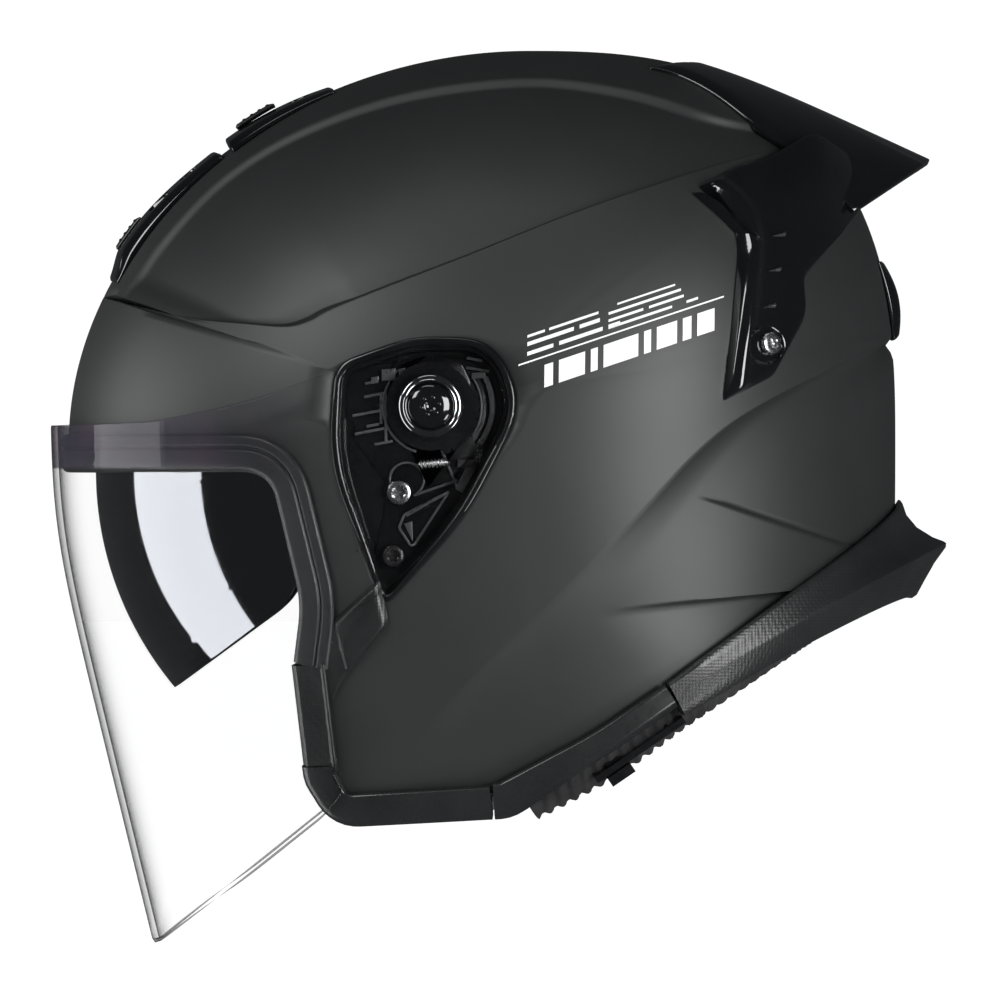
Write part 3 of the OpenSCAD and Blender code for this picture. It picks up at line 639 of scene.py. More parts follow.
def cheek_inside(p):
    at = on_shell(p, -40)
    seam = min(abs(at.z + 74 - 0.25 * at.y), abs(at.z + 106 + 0.2 * at.y))
    return on_shell(p, -43.5 + 3.0 * math.exp(-(seam / 2.2) ** 2))


bm = bmesh.new()
closed_pad(bm, CHEEK_OUTLINE, cheek_pole, lambda q: shell_spot(q, -4), cheek_outside, cheek_inside, 22,
           2.4, inner_rings=26)
bmesh.ops.remove_doubles(bm, verts=bm.verts, dist=0.01)
for k in range(2):
    bmesh.ops.smooth_vert(bm, verts=bm.verts, factor=0.5, use_axis_x=True, use_axis_y=True,
                          use_axis_z=True)
cheek_pads = make_piece(bm, "cheek_pads", honeycomb_knit,
                        replaces=["cheek_pad_left", "cheek_pad_right"], mirror=True, sharp=180)

# ----------------------------------------
# Neck roll: ribbed knit over a soft tube, pressed in below the side and rear edges.
# ----------------------------------------
def facing(v):
    """The shell's outward direction at a point on it."""
    def level(y, z):
        a = math.atan2(z - SHELL_CENTRE[1], y - SHELL_CENTRE[0])
        return (math.hypot(y - SHELL_CENTRE[0], z - SHELL_CENTRE[1]) / shell_reach(a)) ** 2.2
    e = 0.05
    across = 2.2 * abs(v.x) ** 1.2 / SHELL_HALF ** 2.2
    return Vector((across, (level(v.y + e, v.z) - level(v.y - e, v.z)) / (2 * e),
                   (level(v.y, v.z + e) - level(v.y, v.z - e)) / (2 * e))).normalized()


def sweep(bm, path, section, caps=True):
    """Carries a closed section along points on the shell: (up the shell, out from it) pairs."""
    n = len(path)
    m = len(section(0.0))
    made, spots = grid(n - 1, m, bm)
    frames = []
    for i, at in enumerate(path):
        t = (path[min(n - 1, i + 1)] - path[max(0, i - 1)]).normalized()
        if abs(at.x) < 0.01:
            t = Vector((math.copysign(1.0, t.x), 0, 0)) if abs(t.x) > 0.01 else Vector((1, 0, 0))
        f = facing(at)
        frames.append((f.cross(t).normalized(), f))
    for v, i, j in spots:
        up, out = section(i / (n - 1))[j % m]
        v.co = path[i] + frames[i][0] * up + frames[i][1] * out
    bmesh.ops.remove_doubles(bm, verts=list(made), dist=0.0005)
    if caps:
        open_edges = [e for e in bm.edges if e.is_boundary
                      and abs(e.verts[0].co.x) + abs(e.verts[1].co.x) > 0.02]
        bmesh.ops.holes_fill(bm, edges=open_edges, sides=0)
    return made


def shell_path(outline, step):
    return [on_shell(shell_spot(q)) for q in even(dense(rounded(outline, steps=8), 0.5), step)]


ribbed_knit = mottled("ribbed knit", (0.012, 0.012, 0.013), (0.03, 0.03, 0.031), 0.8, 0.95, 60, 1500,
                      0.35, spec=0.2)

NECK_EDGE = [(12, -122), (40, -107, 12), (63, -91, 10), (101, -68, 12), (138, -47)]
neck_path = shell_path(NECK_EDGE, 0.8)


def neck_section(t):
    length = 180 * t
    out = []
    for k in range(28):
        a = 2 * math.pi * k / 28
        rib = 0.75 * math.sin(2 * math.pi * (length / 6.0 + k / 28 * 3))
        out.append((-7.0 + (8.4 + rib) * math.cos(a), -14 + (9.2 + rib) * math.sin(a)))
    return out


bm = bmesh.new()
neck_path[-1].x = 0
sweep(bm, neck_path, neck_section)
neck = make_piece(bm, "neck_roll_cover", ribbed_knit, replaces=["neck_roll"],
                  mirror=True, sharp=180)

# ----------------------------------------
# Eyeport gasket: a black rubber channel with a grooved lip, pushed over the shell's cut edge.
# ----------------------------------------
gasket_rubber = mottled("gasket rubber", (0.010, 0.011, 0.012), (0.018, 0.02, 0.021), 0.3, 0.5, 30, 900,
                        0.04)
GASKET_EDGE = [(-137, BROW_Z), (-66, BROW_Z, 12), (-55, -60, 8), (-57.5, -80)]
GASKET_SECTION = rounded([(-1.9, 0.6, 0.3), (8.4, 0.6, 0.4), (9.3, 1.3, 0.4), (8.4, 2.5, 0.6),
                          (5.4, 2.6, 0.5), (4.6, 1.5, 0.4),
                          (3.8, 2.6, 0.5), (-1.8, 2.6, 0.9), (-3.5, 1, 0.9), (-3.5, -4.4, 0.5),
                          (-2.4, -6, 0.5),
                          (4, -5.6, 0.4), (4, -4.4, 0.2), (-1.9, -4.4, 0.2)], True, 3)
bm = bmesh.new()
gasket_path = shell_path(GASKET_EDGE, 1.6)
gasket_path[0].x = 0
sweep(bm, gasket_path, lambda t: GASKET_SECTION)
make_piece(bm, "gasket", gasket_rubber, replaces=["eyeport_gasket"], mirror=True,
           sharp=50)

# ----------------------------------------
# Edge trims: black moulded plastic bonded over the shell's lower edge, in five lengths that butt
# together. The cheek lengths and the rear fin have a fine dot texture; the others are satin.
# ----------------------------------------
satin_plastic = mottled("satin plastic", (0.008, 0.0085, 0.009), (0.014, 0.0145, 0.015), 0.26, 0.32, 30,
                        400, 0, coat=0.2)
dotted_plastic = mottled("dotted plastic", (0.010, 0.0105, 0.011), (0.016, 0.0165, 0.017), 0.3, 0.36,
                         30, 400, 0, spec=0.55)
dots = put(dotted_plastic, "ShaderNodeTexVoronoi", [("Vector", object_place(dotted_plastic))],
           Scale=900.0, Randomness=0.0)
raised(dotted_plastic, dots.outputs["Distance"], 0.3, 0.0003).invert = True


def trim_section(high, low, t, crown=0.0):
    return rounded([(-1.4, 0.6, 0.2), (high, 0.6, 0.2), (high - 0.3, t - 0.4, 0.4),
                    (high - 1.1, t, 0.5),
                    ((high + low) / 2, t + crown, 1.5), (low + 2.2, t, 1.2), (low, t - 1.8, 1.0),
                    (low, -5, 0.6),
                    (-1.4, -5, 0.3)], True, 4)


bm = bmesh.new()
cheek_section = rounded([(-1.4, 0.6, 0.2), (8.5, 0.6, 0.2), (8.8, 2.4, 0.5), (7.9, 3.1, 0.5),
                         (7.0, 2.2, 0.4), (2, 2.3, 1),
                         (-1.6, 2.6, 0.6), (-4, 0.8, 0.8), (-4, -5, 0.5), (-1.4, -5, 0.3)], True, 4)
sweep(bm, shell_path([(-57.8, -80.5), (-54, -113.2)], 1.6), lambda t: cheek_section)
make_piece(bm, "cheek_trims", dotted_plastic,
                         replaces=["cheek_trim_left", "cheek_trim_right"], mirror=True, sharp=40)

bm = bmesh.new()
sweep(bm, shell_path([(-54, -113.5), (-53.2, -118, 2), (-45, -127, 5), (3.7, -124.2)], 1.6),
      lambda t: trim_section(8.5 - 3.9 * smooth(t / 0.3), -4.6 - 2.9 * smooth(t / 0.3), 2.7, 0.3))
sweep(bm, shell_path([(4.7, -124.1), (8, -124, 2), (40, -107, 8), (62.6, -91.2)], 1.6),
      lambda t: trim_section(5.6, -7.5 + 3.6 * smooth(t / 0.6), 2.9))
make_piece(bm, "edge_trims", satin_plastic,
                        replaces=["edge_trim_front_left", "edge_trim_front_right",
                                  "edge_trim_side_left", "edge_trim_side_right"],
                        mirror=True, sharp=40)

FIN_ROOT = [(-1.4, 0.6), (5.6, 0.6), (5.6, 1.6), (5.2, 2.4), (4.6, 2.9), (3.4, 2.9), (2.2, 2.9),
            (1.0, 2.9), (0.4, 2.9),
            (-0.2, 2.9), (-3, 2.9), (-5.2, 2.9), (-6.9, 2.2), (-7.5, 0.8), (-7.5, -2), (-7.5, -5),
            (-1.4, -5)]
FIN_TAIL = [(-1.4, 0.6), (20.5, 0.6), (20.3, 1.4), (19.2, 2.2), (15.5, 3.6), (11.5, 7.2), (8.4, 12.6),
            (7.2, 16.2), (6.6, 17.2),
            (5.2, 17.1), (0, 13.6), (-6.5, 10.2), (-11.0, 8.0), (-12.2, 6.4), (-12.0, 1.5), (-11, -3.5),
            (-1.4, -4.5)]
fin_path = shell_path([(63.4, -90.8), (101, -68, 8), (138, -47)], 1.3)
fin_path[-1].x = 0


def fin_section(t):
    x = fin_path[round(t * (len(fin_path) - 1))].x
    w = max(0.0, 1 - abs(x) / 110) ** 0.9
    high = w ** 0.75
    return [(a[0] + (b[0] - a[0]) * (high if b[0] > 9 else w), a[1] + (b[1] - a[1]) * w) for a,
            b in zip(FIN_ROOT, FIN_TAIL)]


bm = bmesh.new()
sweep(bm, fin_path, fin_section)
make_piece(bm, "rear_fin", dotted_plastic, replaces=["rear_lip"], mirror=True,
           sharp=28)

# ----------------------------------------
# Hinge covers: small moulded caps below each hinge, with the same dots and one raised rib.
# ----------------------------------------
COVER_OUTLINE = [(-60.4, -77), (-57, -81, 1), (-52, -92, 1), (-47.6, -92.4), (-45.6, -87, 1),
                 (-29.4, -66.3, 1.5), (-32.4, -52.6, 1)]
cover_pole = shell_spot((-46, -76))


def cover_top(p, from_edge):
    at = on_shell(p, 0)
    step = smooth((at.y + 46.3 + 0.25 * (at.z + 69.7)) / 1.2)
    return on_shell(p, 0.9 + 0.9 * min(1.0, from_edge / 0.5) + 0.9 * step * min(1.0, from_edge / 1.0))


bm = bmesh.new()
closed_pad(bm, COVER_OUTLINE, cover_pole, shell_spot, cover_top, lambda p: on_shell(p, 0.3), 26, 2.0)
make_piece(bm, "hinge_covers", dotted_plastic,
                          replaces=["hinge_cover_left", "hinge_cover_right"], mirror=True, sharp=35)

# ----------------------------------------
# Hinge trays: black acetal mouldings sunk into the shell beside each ear, with a lip over the
# shell's cut edge. A plate on the floor carries the hub's seat, ribs, a ratchet arc and a window.
# ----------------------------------------
black_acetal = mottled("black acetal", (0.003, 0.0032, 0.0036), (0.006, 0.0063, 0.007), 0.16, 0.22, 50,
                       400, 0)
TRAY_FLOOR = 111.6
PLATE_TOP = 113.7
TRAY_CENTRE = (-20.0, -8.0)


def shell_x(y, z):
    return on_shell(shell_spot((y, z))).x


def slab(bm, outline, low, high, soft=0.25, segments=2):
    """A flat plate drawn in the side view, standing from one sideways distance to another."""
    made = bmesh.ops.create_circle(bm, cap_ends=True, segments=len(outline), radius=1)["verts"]
    for v, q in zip(made, outline):
        v.co = (low, q[0], q[1])
    face = made[0].link_faces[0]
    grown = bmesh.ops.extrude_face_region(bm, geom=[face], use_keep_orig=True)["geom"]
    verts = [g for g in grown if isinstance(g, bmesh.types.BMVert)]
    bmesh.ops.translate(bm, verts=verts, vec=(high - low, 0, 0))
    if soft:
        top = set(verts)
        edges = [e for v in verts for e in v.link_edges if e.verts[0] in top and e.verts[1] in top]
        bmesh.ops.bevel(bm, geom=list(dict.fromkeys(edges)), offset=soft, segments=segments,
                        profile=0.5,
                        affect="EDGES", offset_type="OFFSET", material=-1)


def bar(a, b, wide):
    """The outline of a straight rib from a to b."""
    a, b = Vector(a), Vector(b)
    side = Vector((-(b - a).y, (b - a).x)).normalized() * (wide / 2)
    return [a - side, b - side, b + side, a + side]


def arc_bar(centre, r, wide, start, stop, steps=20):
    turns = [math.radians(start + (stop - start) * k / steps) for k in range(steps + 1)]
    inner = [Vector((centre[0] + (r - wide / 2) * math.cos(t),
                     centre[1] + (r - wide / 2) * math.sin(t))) for t in turns]
    outer = [Vector((centre[0] + (r + wide / 2) * math.cos(t),
                     centre[1] + (r + wide / 2) * math.sin(t))) for t in turns]
    return outer + inner[::-1]


bm = bmesh.new()
tray_line = around(dense(rounded(EAR_OUTLINE, True, 8), 0.5, True), (0, 0),
                   lambda q: (q[0] - TRAY_CENTRE[0], q[1] - TRAY_CENTRE[1]))
tray_line = sorted_table(tray_line)
TRAY_PROFILE = [(0, "floor"), (0.5, "floor"), (0.8, "floor"), (-4.2, "floor"), (-3.6, "floor"),
                (-2.9, "step"), (-2.2, "step"),
                (-1.7, "step"), (-1.5, "lip"), (-1.3, "swell"), (-0.9, "round"), (-0.3, "top"),
                (0.3, "top"), (0.9, "round"),
                (1.3, "swell"), (1.4, "lip"), (1.3, "under"), (-0.6, "back")]
made, spots = grid(240, len(TRAY_PROFILE) - 1, bm)
for v, i, j in spots:
    a = 360 * (i % 240) / 240
    end = at_angle(tray_line, a)
    share, level = TRAY_PROFILE[j]
    r = end * share if j < 3 else end + share
    y = TRAY_CENTRE[0] + r * math.cos(math.radians(a))
    z = TRAY_CENTRE[1] + r * math.sin(math.radians(a))
    edge_y = TRAY_CENTRE[0] + end * math.cos(math.radians(a))
    edge_z = TRAY_CENTRE[1] + end * math.sin(math.radians(a))
    brim = shell_x(edge_y, edge_z)
    x = {"floor": TRAY_FLOOR, "step": min(TRAY_FLOOR + 3.0, brim - 0.6), "lip": brim + 0.1,
         "swell": brim + 0.5,
         "round": brim + 0.9, "top": brim + 1.1, "under": brim - 0.2, "back": 111.0}[level]
    v.co = (x, y, z)
PLATE = [(-41.4, 17.0, 1.5), (-46.7, 5.7, 1), (-46.4, 1.8, 1), (-40.6, -1.5, 2), (-41.2, -6.5, 1.5),
         (-34.5, -15.9, 2),
         (-30.8, -20.6, 1), (-30.9, -30, 1.5), (-34.6, -45.2, 2), (-32.4, -49.6, 1.5),
         (-24.2, -47.2, 2), (-6, -26.2, 3), (0.4, -13.6, 4),
         (4.2, -3.2, 4), (5.2, 7.9, 4), (1.6, 16.4, 4), (-5.7, 20, 4), (-14, 20.4, 4), (-29.6, 18.2, 5)]
slab(bm, rounded(PLATE, True, 5), TRAY_FLOOR - 0.3, PLATE_TOP - 1.2, 0.4)
DECK = [(-24.6, 17.2, 1), (-17, 18.8, 1), (-9.5, 19.6, 1), (-5.6, 17.6, 1), (-3.2, 12.5, 1),
        (-2.4, 4, 2), (-4.8, -6, 3), (-6, -7.6, 1),
         (-20, -8, 1), (-26.5, -8.4, 3), (-30.2, -1.5, 3), (-30.4, 8, 2), (-27.4, 12, 1),
         (-24.8, 12.2, 1)]
slab(bm, rounded(DECK, True, 5), TRAY_FLOOR, PLATE_TOP, 0.35)
make_piece(bm, "hinge_trays", black_acetal,
           replaces=["base_plate_left", "base_plate_right"],
                   mirror=True, sharp=28)
# The ribs are a lighter grey than the black tray: painted highlight along their edges.
rib_highlight_acetal = mottled("acetal with painted highlight", (0.035, 0.036, 0.038), (0.05, 0.052, 0.055), 0.25, 0.35, 50, 400, 0)
bm = bmesh.new()
for a, b in (((-37.8, 7.0), (-30.9, 8.4)), ((-41.6, 0.9), (-29.8, 3.1)), ((-40.8, -5.1), (-31.2, -3.2)),
             ((-34.4, -8.5), (-28.5, -7.4)),
             ((-32.2, 8.0), (-32.2, -1.8)), ((-30.8, 8.4), (-30.6, -7.6)), ((-37, -2.6), (-33, -1.9)),
             ((-37.5, 11.4), (-33, 12.2)),
             ((-12.5, -10.2), (-7.2, -22.8)), ((-21.6, -25.2), (-7.2, -20.2)),
             ((-24.0, -31.8), (-10.2, -24.0)),
             ((-4.2, 19.8), (1.0, 18.8)), ((-4.4, 16.6), (3.0, 15.4))):
    slab(bm, bar(a, b, 0.9), TRAY_FLOOR, PLATE_TOP + 0.3, 0.2)
for y0, z0, wide, high in ((-32, 12.2, 4.6, 3.8), (-26.4, 12.6, 2.2, 3.6), (-35.4, 11.2, 2.4, 2.2),
                           (-2.6, 12.8, 4.6, 2.0)):
    slab(bm, [(y0, z0), (y0 + wide, z0 + 0.5), (y0 + wide, z0 + high + 0.5), (y0, z0 + high)],
         TRAY_FLOOR, PLATE_TOP + 0.9, 0.3)
slab(bm, arc_bar(PIVOT, 15.6, 0.8, 104, 252), TRAY_FLOOR, PLATE_TOP + 0.5, 0.2)
slab(bm, arc_bar(PIVOT, 16.6, 0.6, -36, 32), TRAY_FLOOR, PLATE_TOP + 0.3, 0.2)
slab(bm, arc_bar(PIVOT, 20.2, 1.9, -38, 28), TRAY_FLOOR, PLATE_TOP + 1.3, 0.4)
slab(bm, arc_bar(PIVOT, 12.6, 2.4, 0, 360, 72)[:146], PLATE_TOP - 1, PLATE_TOP + 0.5, 0.3)
slab(bm, arc_bar((-23.8, -20.0), 5.6, 0.7, -60, 200), TRAY_FLOOR, PLATE_TOP - 0.3, 0.2)
WINDOW = [(-26.4, -35.7, 0.6), (-24.6, -31.4, 0.6), (-10.0, -23.8, 0.6), (-21.2, -41.2, 0.6),
          (-22.6, -41.6, 0.5)]
window_outer = rounded(WINDOW, True, 3)
for a, b in zip(window_outer, window_outer[1:] + window_outer[:1]):
    slab(bm, bar(a, b, 0.8), TRAY_FLOOR, PLATE_TOP - 0.1, 0.15)
slab(bm, [(-24.8, -34.4), (-22.0, -33.6), (-21.8, -40.4)], TRAY_FLOOR, PLATE_TOP - 0.4, 0.3)
make_piece(bm, "tray_ribs", rib_highlight_acetal, mirror=True, sharp=28)

# ----------------------------------------
# Plate screws: bright M4 screws with six-lobed sockets, and blackened ones at the lower corner.
# ----------------------------------------
def axes_at(out):
    """Two directions across an axis."""
    w = Vector(out).normalized()
    u = w.cross(Vector((0, 0, 1))).normalized() if abs(w.z) < 0.9 else Vector((1, 0, 0))
    return u, w.cross(u), w


def lathe(bm, profile, at, out, count=48, lobes=None):
    """Turns (radius, height) pairs about an axis. Points whose index is in lobes take a six-lobed outline."""
    u, v_way, w = axes_at(out)
    made, spots = grid(len(profile) - 1, count, bm)
    for v, i, j in spots:
        a = 2 * math.pi * (j % count) / count
        r, h = profile[i]
        if lobes and i in lobes:
            r *= 1 + 0.14 * math.cos(6 * a)
        v.co = Vector(at) + u * (r * math.cos(a)) + v_way * (r * math.sin(a)) + w * h
    return made


def screw_head(r, tall, socket):
    return [(0, tall - 1.7), (socket * 0.5, tall - 1.7), (socket * 0.96, tall - 1.6),
            (socket, tall - 0.25), (socket + 0.25, tall),
            (r - 1.0, tall), (r - 0.35, tall - 0.25), (r, tall - 0.9), (r, 0.0), (2, 0.0), (2, -3.5),
            (0, -3.5)]


bright_zinc = mottled("bright zinc", (0.5, 0.51, 0.53), (0.7, 0.71, 0.72), 0.16, 0.3, 300, 2500, 0.03,
                      metal=1.0)
black_steel = mottled("blackened steel", (0.015, 0.015, 0.016), (0.04, 0.04, 0.042), 0.22, 0.36, 300,
                      2500, 0.03, metal=0.6)
bm = bmesh.new()
lathe(bm, screw_head(4.1, 2.4, 2.1), (114.0, -26.4, -24.3), (1, 0, 0), 60, (1, 2, 3))
make_piece(bm, "plate_screws_bright", bright_zinc, replaces=["plate_screws"], mirror=True)
bm = bmesh.new()
lathe(bm, screw_head(3.6, 2.4, 1.9), (113.4, -28.2, -45), (1, 0, 0), 60, (1, 2, 3))
make_piece(bm, "plate_screws_black", black_steel, replaces=["lower_plate_screws"],
           mirror=True)

# ----------------------------------------
# Release levers and their coil springs: the grey acetal block slides forward to free the visor,
# and the spring pushes it back between the ratchet's teeth.
# ----------------------------------------
grey_acetal = mottled("grey acetal", (0.022, 0.022, 0.024), (0.035, 0.035, 0.038), 0.3, 0.45, 60, 1500,
                      0.03)
LEVER = [(-7.2, -13.4, 0.4), (-0.8, -13.4, 0.4), (-1.5, -17, 0.5), (-5.6, -24.4, 0.6), (-8.1, -23, 0.6),
         (-4.6, -16.4, 0.5), (-7.2, -16, 0.3)]
for side, name in ((1, "left"), (-1, "right")):
    bm = bmesh.new()
    slab(bm, rounded(LEVER, True, 4), 113.95, 115.85, 0.3)
    slab(bm, rounded([(-6.6, -14.0, 0.3), (-1.6, -14.0, 0.3), (-1.9, -15.7, 0.3), (-6.6, -15.5, 0.3)],
                     True, 3), 115.6, 116.3, 0.2)
    if side < 0:
        bmesh.ops.scale(bm, vec=(-1, 1, 1), verts=bm.verts)
    make_piece(bm, "release_block_" + name, grey_acetal, "release_lever_" + name,
               ["release_lever_" + name], sharp=30)


def tube(bm, points, radius, sides, up):
    """A round bar through the points; up is a direction that the points never follow."""
    made, spots = grid(len(points) - 1, sides, bm)
    for v, i, j in spots:
        t = (points[min(i + 1, len(points) - 1)] - points[max(i - 1, 0)]).normalized()
        u = t.cross(up).normalized()
        w = t.cross(u)
        a = 2 * math.pi * (j % sides) / sides
        v.co = points[i] + (u * math.cos(a) + w * math.sin(a)) * radius
    return made


bm = bmesh.new()
COILS = 8
coil = [Vector((115.3 + 1.5 * math.cos(2 * math.pi * t), -19.6 + 9.6 * t / COILS,
                -15.2 + t / COILS + 1.5 * math.sin(2 * math.pi * t)))
        for t in (k / 14 for k in range(COILS * 14 + 1))]
tube(bm, coil, 0.24, 6, Vector((0, 1, 0)))
make_piece(bm, "lever_coils", bright_zinc, replaces=["lever_springs"], mirror=True,
           sharp=60)

# ----------------------------------------
# Visor hubs: a dark chrome ring round a gloss black dome with a moulded star, which screws down
# through the visor's ear into the tray.
# ----------------------------------------
dark_chrome = mottled("dark chrome", (0.35, 0.36, 0.38), (0.55, 0.56, 0.58), 0.06, 0.14, 100, 900, 0.0,
                      metal=1.0)
gloss_black = mottled("piano black", (0.003, 0.0032, 0.004), (0.005, 0.0052, 0.006), 0.06, 0.13, 20,
                      1200, 0.0, coat=0.6)
bm = bmesh.new()
HUB_AT = (0, PIVOT[0], PIVOT[1])
lathe(bm, [(7.4, 124.6), (9.3, 124.6), (10.0, 124.9), (10.4, 125.5), (10.3, 126.1), (9.7, 126.5),
           (9.0, 126.5), (8.7, 126.9),
           (8.2, 127.0), (7.8, 126.6), (7.4, 126.2), (7.4, 124.6)], HUB_AT, (1, 0, 0), 96)
lathe(bm, [(0, 111.4), (4.5, 111.4), (4.5, 115.4), (7.9, 115.4), (7.9, 124.7), (0, 124.7)], HUB_AT,
      (1, 0, 0), 64)
make_piece(bm, "hub_rings", dark_chrome, replaces=["visor_hub_left", "visor_hub_right"],
           sharp=50, mirror=True)
bm = bmesh.new()
lathe(bm, [(0, 127.2), (1.2, 127.2), (1.5, 127.5), (1.9, 127.75), (2.5, 127.8), (4.2, 127.62),
           (6.0, 127.1), (7.0, 126.5), (7.55, 125.9),
           (7.55, 124.9), (0, 124.9)], HUB_AT, (1, 0, 0), 96)
for k in range(6):
    a = math.radians(60 * k + 12)
    spot_at = (127.55, PIVOT[0] + 2.9 * math.cos(a), PIVOT[1] + 2.9 * math.sin(a))
    lathe(bm, [(0, 0.3), (0.5, 0.25), (0.8, 0), (0.8, -0.6), (0, -0.6)], spot_at, (1, 0, 0), 16)
make_piece(bm, "hub_domes", gloss_black, replaces=["visor_hub_left", "visor_hub_right"],
           sharp=50, mirror=True)

# ----------------------------------------
# Sun visor: dark smoke polycarbonate, 1.8 mm, on pins inside the shell. It swings up over the
# brow behind the shell.
# ----------------------------------------
SUN_PIVOT = SWING_CENTRE
SUN_RADIUS = 112.0
SUN_HALF = 105.0
SUN_EDGE = [(-102.7, -90), (-62, -60, 8), (-55, -35, 8), (-24, -27, 2), (-16, -29, 2), (-7.5, -25.5, 3),
            (-4, -17, 4), (-7.5, -8.5, 3),
            (-16, -5, 2), (-66, -3, 6), (-128.4, -4)]


def on_sun(p, d=0.0):
    f = math.radians(min(90.0, math.hypot(*p)))
    a = math.atan2(p[1], p[0])
    r = (SUN_RADIUS + d) * math.sin(f)
    x = (SUN_HALF + d) * max(0.0, 1 - math.sin(f) ** 2.2) ** (1 / 2.2)
    return Vector((x, SUN_PIVOT[0] + r * math.cos(a), SUN_PIVOT[1] + r * math.sin(a)))


def sun_spot(q):
    y, z = q[0] - SUN_PIVOT[0], q[1] - SUN_PIVOT[1]
    f = math.degrees(math.asin(min(1.0, math.hypot(y, z) / SUN_RADIUS)))
    a = math.atan2(z, y)
    return (f * math.cos(a), f * math.sin(a))


def open_round(bm, centre, radius, new_radius):
    """Opens a hole in a skin round a point of the side view, and rounds the hole's edge."""
    gone = [f for f in bm.faces if (Vector(f.calc_center_median()[1:]) - Vector(centre)).length < radius
            and f.calc_center_median().x > 60]
    bmesh.ops.delete(bm, geom=gone, context="FACES")
    for v in bm.verts:
        if v.is_boundary and v.co.x > 60:
            away = Vector(v.co[1:]) - Vector(centre)
            if away.length < radius + 3.0:
                away = away.normalized() * new_radius
                v.co.y, v.co.z = centre[0] + away.x, centre[1] + away.y


smoke = mottled("smoke polycarbonate", (0.30, 0.31, 0.33), (0.33, 0.34, 0.36), 0.035, 0.06, 8, 300, 0.0,
                metal=1.0)
smoke.node_tree.nodes["Principled BSDF"].inputs["Alpha"].default_value = 0.965
bm = bmesh.new()
half_skin(bm, dense(rounded(SUN_EDGE, steps=8), 0.7), sun_spot((-62, -30)), sun_spot, lambda p,
          e: on_sun(p), 40, 220)
bmesh.ops.remove_doubles(bm, verts=bm.verts, dist=0.002)
open_round(bm, SUN_PIVOT, 4.4, 4.6)
sun_visor = make_piece(bm, "sun_visor_lens", smoke, "sun_visor", ["sun_visor"],
                       mirror=True, sharp=50)
wall(sun_visor, 1.8)

# ----------------------------------------
# Long visor: clear polycarbonate, 2.2 mm, with a faint dark band along its top whose purple-blue swirl is
# a painted reflection, a polished rim whose dark tint is painted shade, and ears that narrow to the hubs.
# ----------------------------------------
VISOR_HALF = 122.0
VISOR_EDGE = [(-108.3, -175), (-51, -129.5, 3), (-44.5, -122, 3), (-49, -101, 8), (-50.8, -83, 5),
              (-47, -69, 6), (-30, -55, 5),
              (-16.4, -42.9, 5), (-5.4, -29.6, 8), (3.6, -12.4, 8), (10.4, 7, 9), (2, 22, 8),
              (-14, 25, 8), (-46.7, 15.7, 14), (-75, 5.5, 12),
              (-106, -1, 8), (-141, -2)]


def visor_reach(a, d):
    total = 0.0
    for side, far in ((180, 125.0), (193.75, 130.3), (270, 200.0), (0, 140.0), (90, 140.0)):
        total += (max(0.0, math.cos(a - math.radians(side))) / (far + d)) ** 40
    return total ** (-1 / 40)


def on_visor(p, d=0.0):
    f = math.radians(min(90.0, math.hypot(*p)))
    a = math.atan2(p[1], p[0])
    r = visor_reach(a, d) * math.sin(f)
    z = PIVOT[1] + r * math.sin(a)
    taper = 1 - 0.0000034 * max(0.0, -z - 20) ** 2
    x = (VISOR_HALF + d) * max(0.0, 1 - math.sin(f) ** 2.5) ** 0.4 * taper
    return Vector((x, PIVOT[0] + r * math.cos(a), z))


def visor_spot(q):
    y, z = q[0] - PIVOT[0], q[1] - PIVOT[1]
    a = math.atan2(z, y)
    f = math.degrees(math.asin(min(1.0, math.hypot(y, z) / visor_reach(a, 0))))
    return (f * math.cos(a), f * math.sin(a))


clear_sheet = surface("clear polycarbonate", (0.02, 0.02, 0.022), 0.03)
place = object_place(clear_sheet)
height = put(clear_sheet, "ShaderNodeSeparateXYZ", [("Vector", place)])
band = stretch(clear_sheet, height.outputs["Z"], -0.0165, -0.0155)
front_only = stretch(clear_sheet, height.outputs["Y"], -0.052, -0.105)
banded = reckon(clear_sheet, "MULTIPLY", band, front_only)
glance = put(clear_sheet, "ShaderNodeLayerWeight", Blend=0.5)
grazing = reckon(clear_sheet, "POWER", glance.outputs["Facing"], 9.0)
cover = reckon(clear_sheet, "MAXIMUM", reckon(clear_sheet, "MULTIPLY_ADD", banded, 0.42, grazing), 0.02)
join(clear_sheet, reckon(clear_sheet, "MINIMUM", cover, 1.0), "Alpha")
# The purple-blue swirl in the band along the top is a painted iridescent reflection.
iridescence_swirl = put(clear_sheet, "ShaderNodeTexNoise", [("Vector", place)], Scale=30.0, Detail=3.0,
            Distortion=1.2)
painted_iridescence = blend(clear_sheet, iridescence_swirl.outputs["Fac"], 0.38, (0.03, 0.036, 0.045), 0.62, (0.06, 0.045, 0.066))
iridescence_mix = put(clear_sheet, "ShaderNodeMix", [("Factor", banded), ("B", painted_iridescence)], data_type="RGBA")
iridescence_mix.inputs["A"].default_value = (0.01, 0.01, 0.011, 1)
join(clear_sheet, iridescence_mix.outputs["Result"], "Base Color")
# The rim faces take a dark, part-opaque tint: painted shade for the dark line a clear edge shows.
visor_rim_shade = mottled("visor rim painted edge shade", (0.02, 0.02, 0.022), (0.05, 0.05, 0.055), 0.05, 0.12, 30, 600,
                    0.0, spec=0.6)
visor_rim_shade.node_tree.nodes["Principled BSDF"].inputs["Alpha"].default_value = 0.75
bm = bmesh.new()
half_skin(bm, dense(rounded(VISOR_EDGE, steps=8), 0.8), visor_spot((-60, -50)), visor_spot, lambda p,
          e: on_visor(p), 60, 320)
bmesh.ops.remove_doubles(bm, verts=bm.verts, dist=0.002)
open_round(bm, PIVOT, 8.2, 8.5)
visor = make_piece(bm, "visor_lens", [clear_sheet, visor_rim_shade], "visor", ["visor"],
                   mirror=True, sharp=50)
wall(visor, 2.2, offset=1, rim=1)

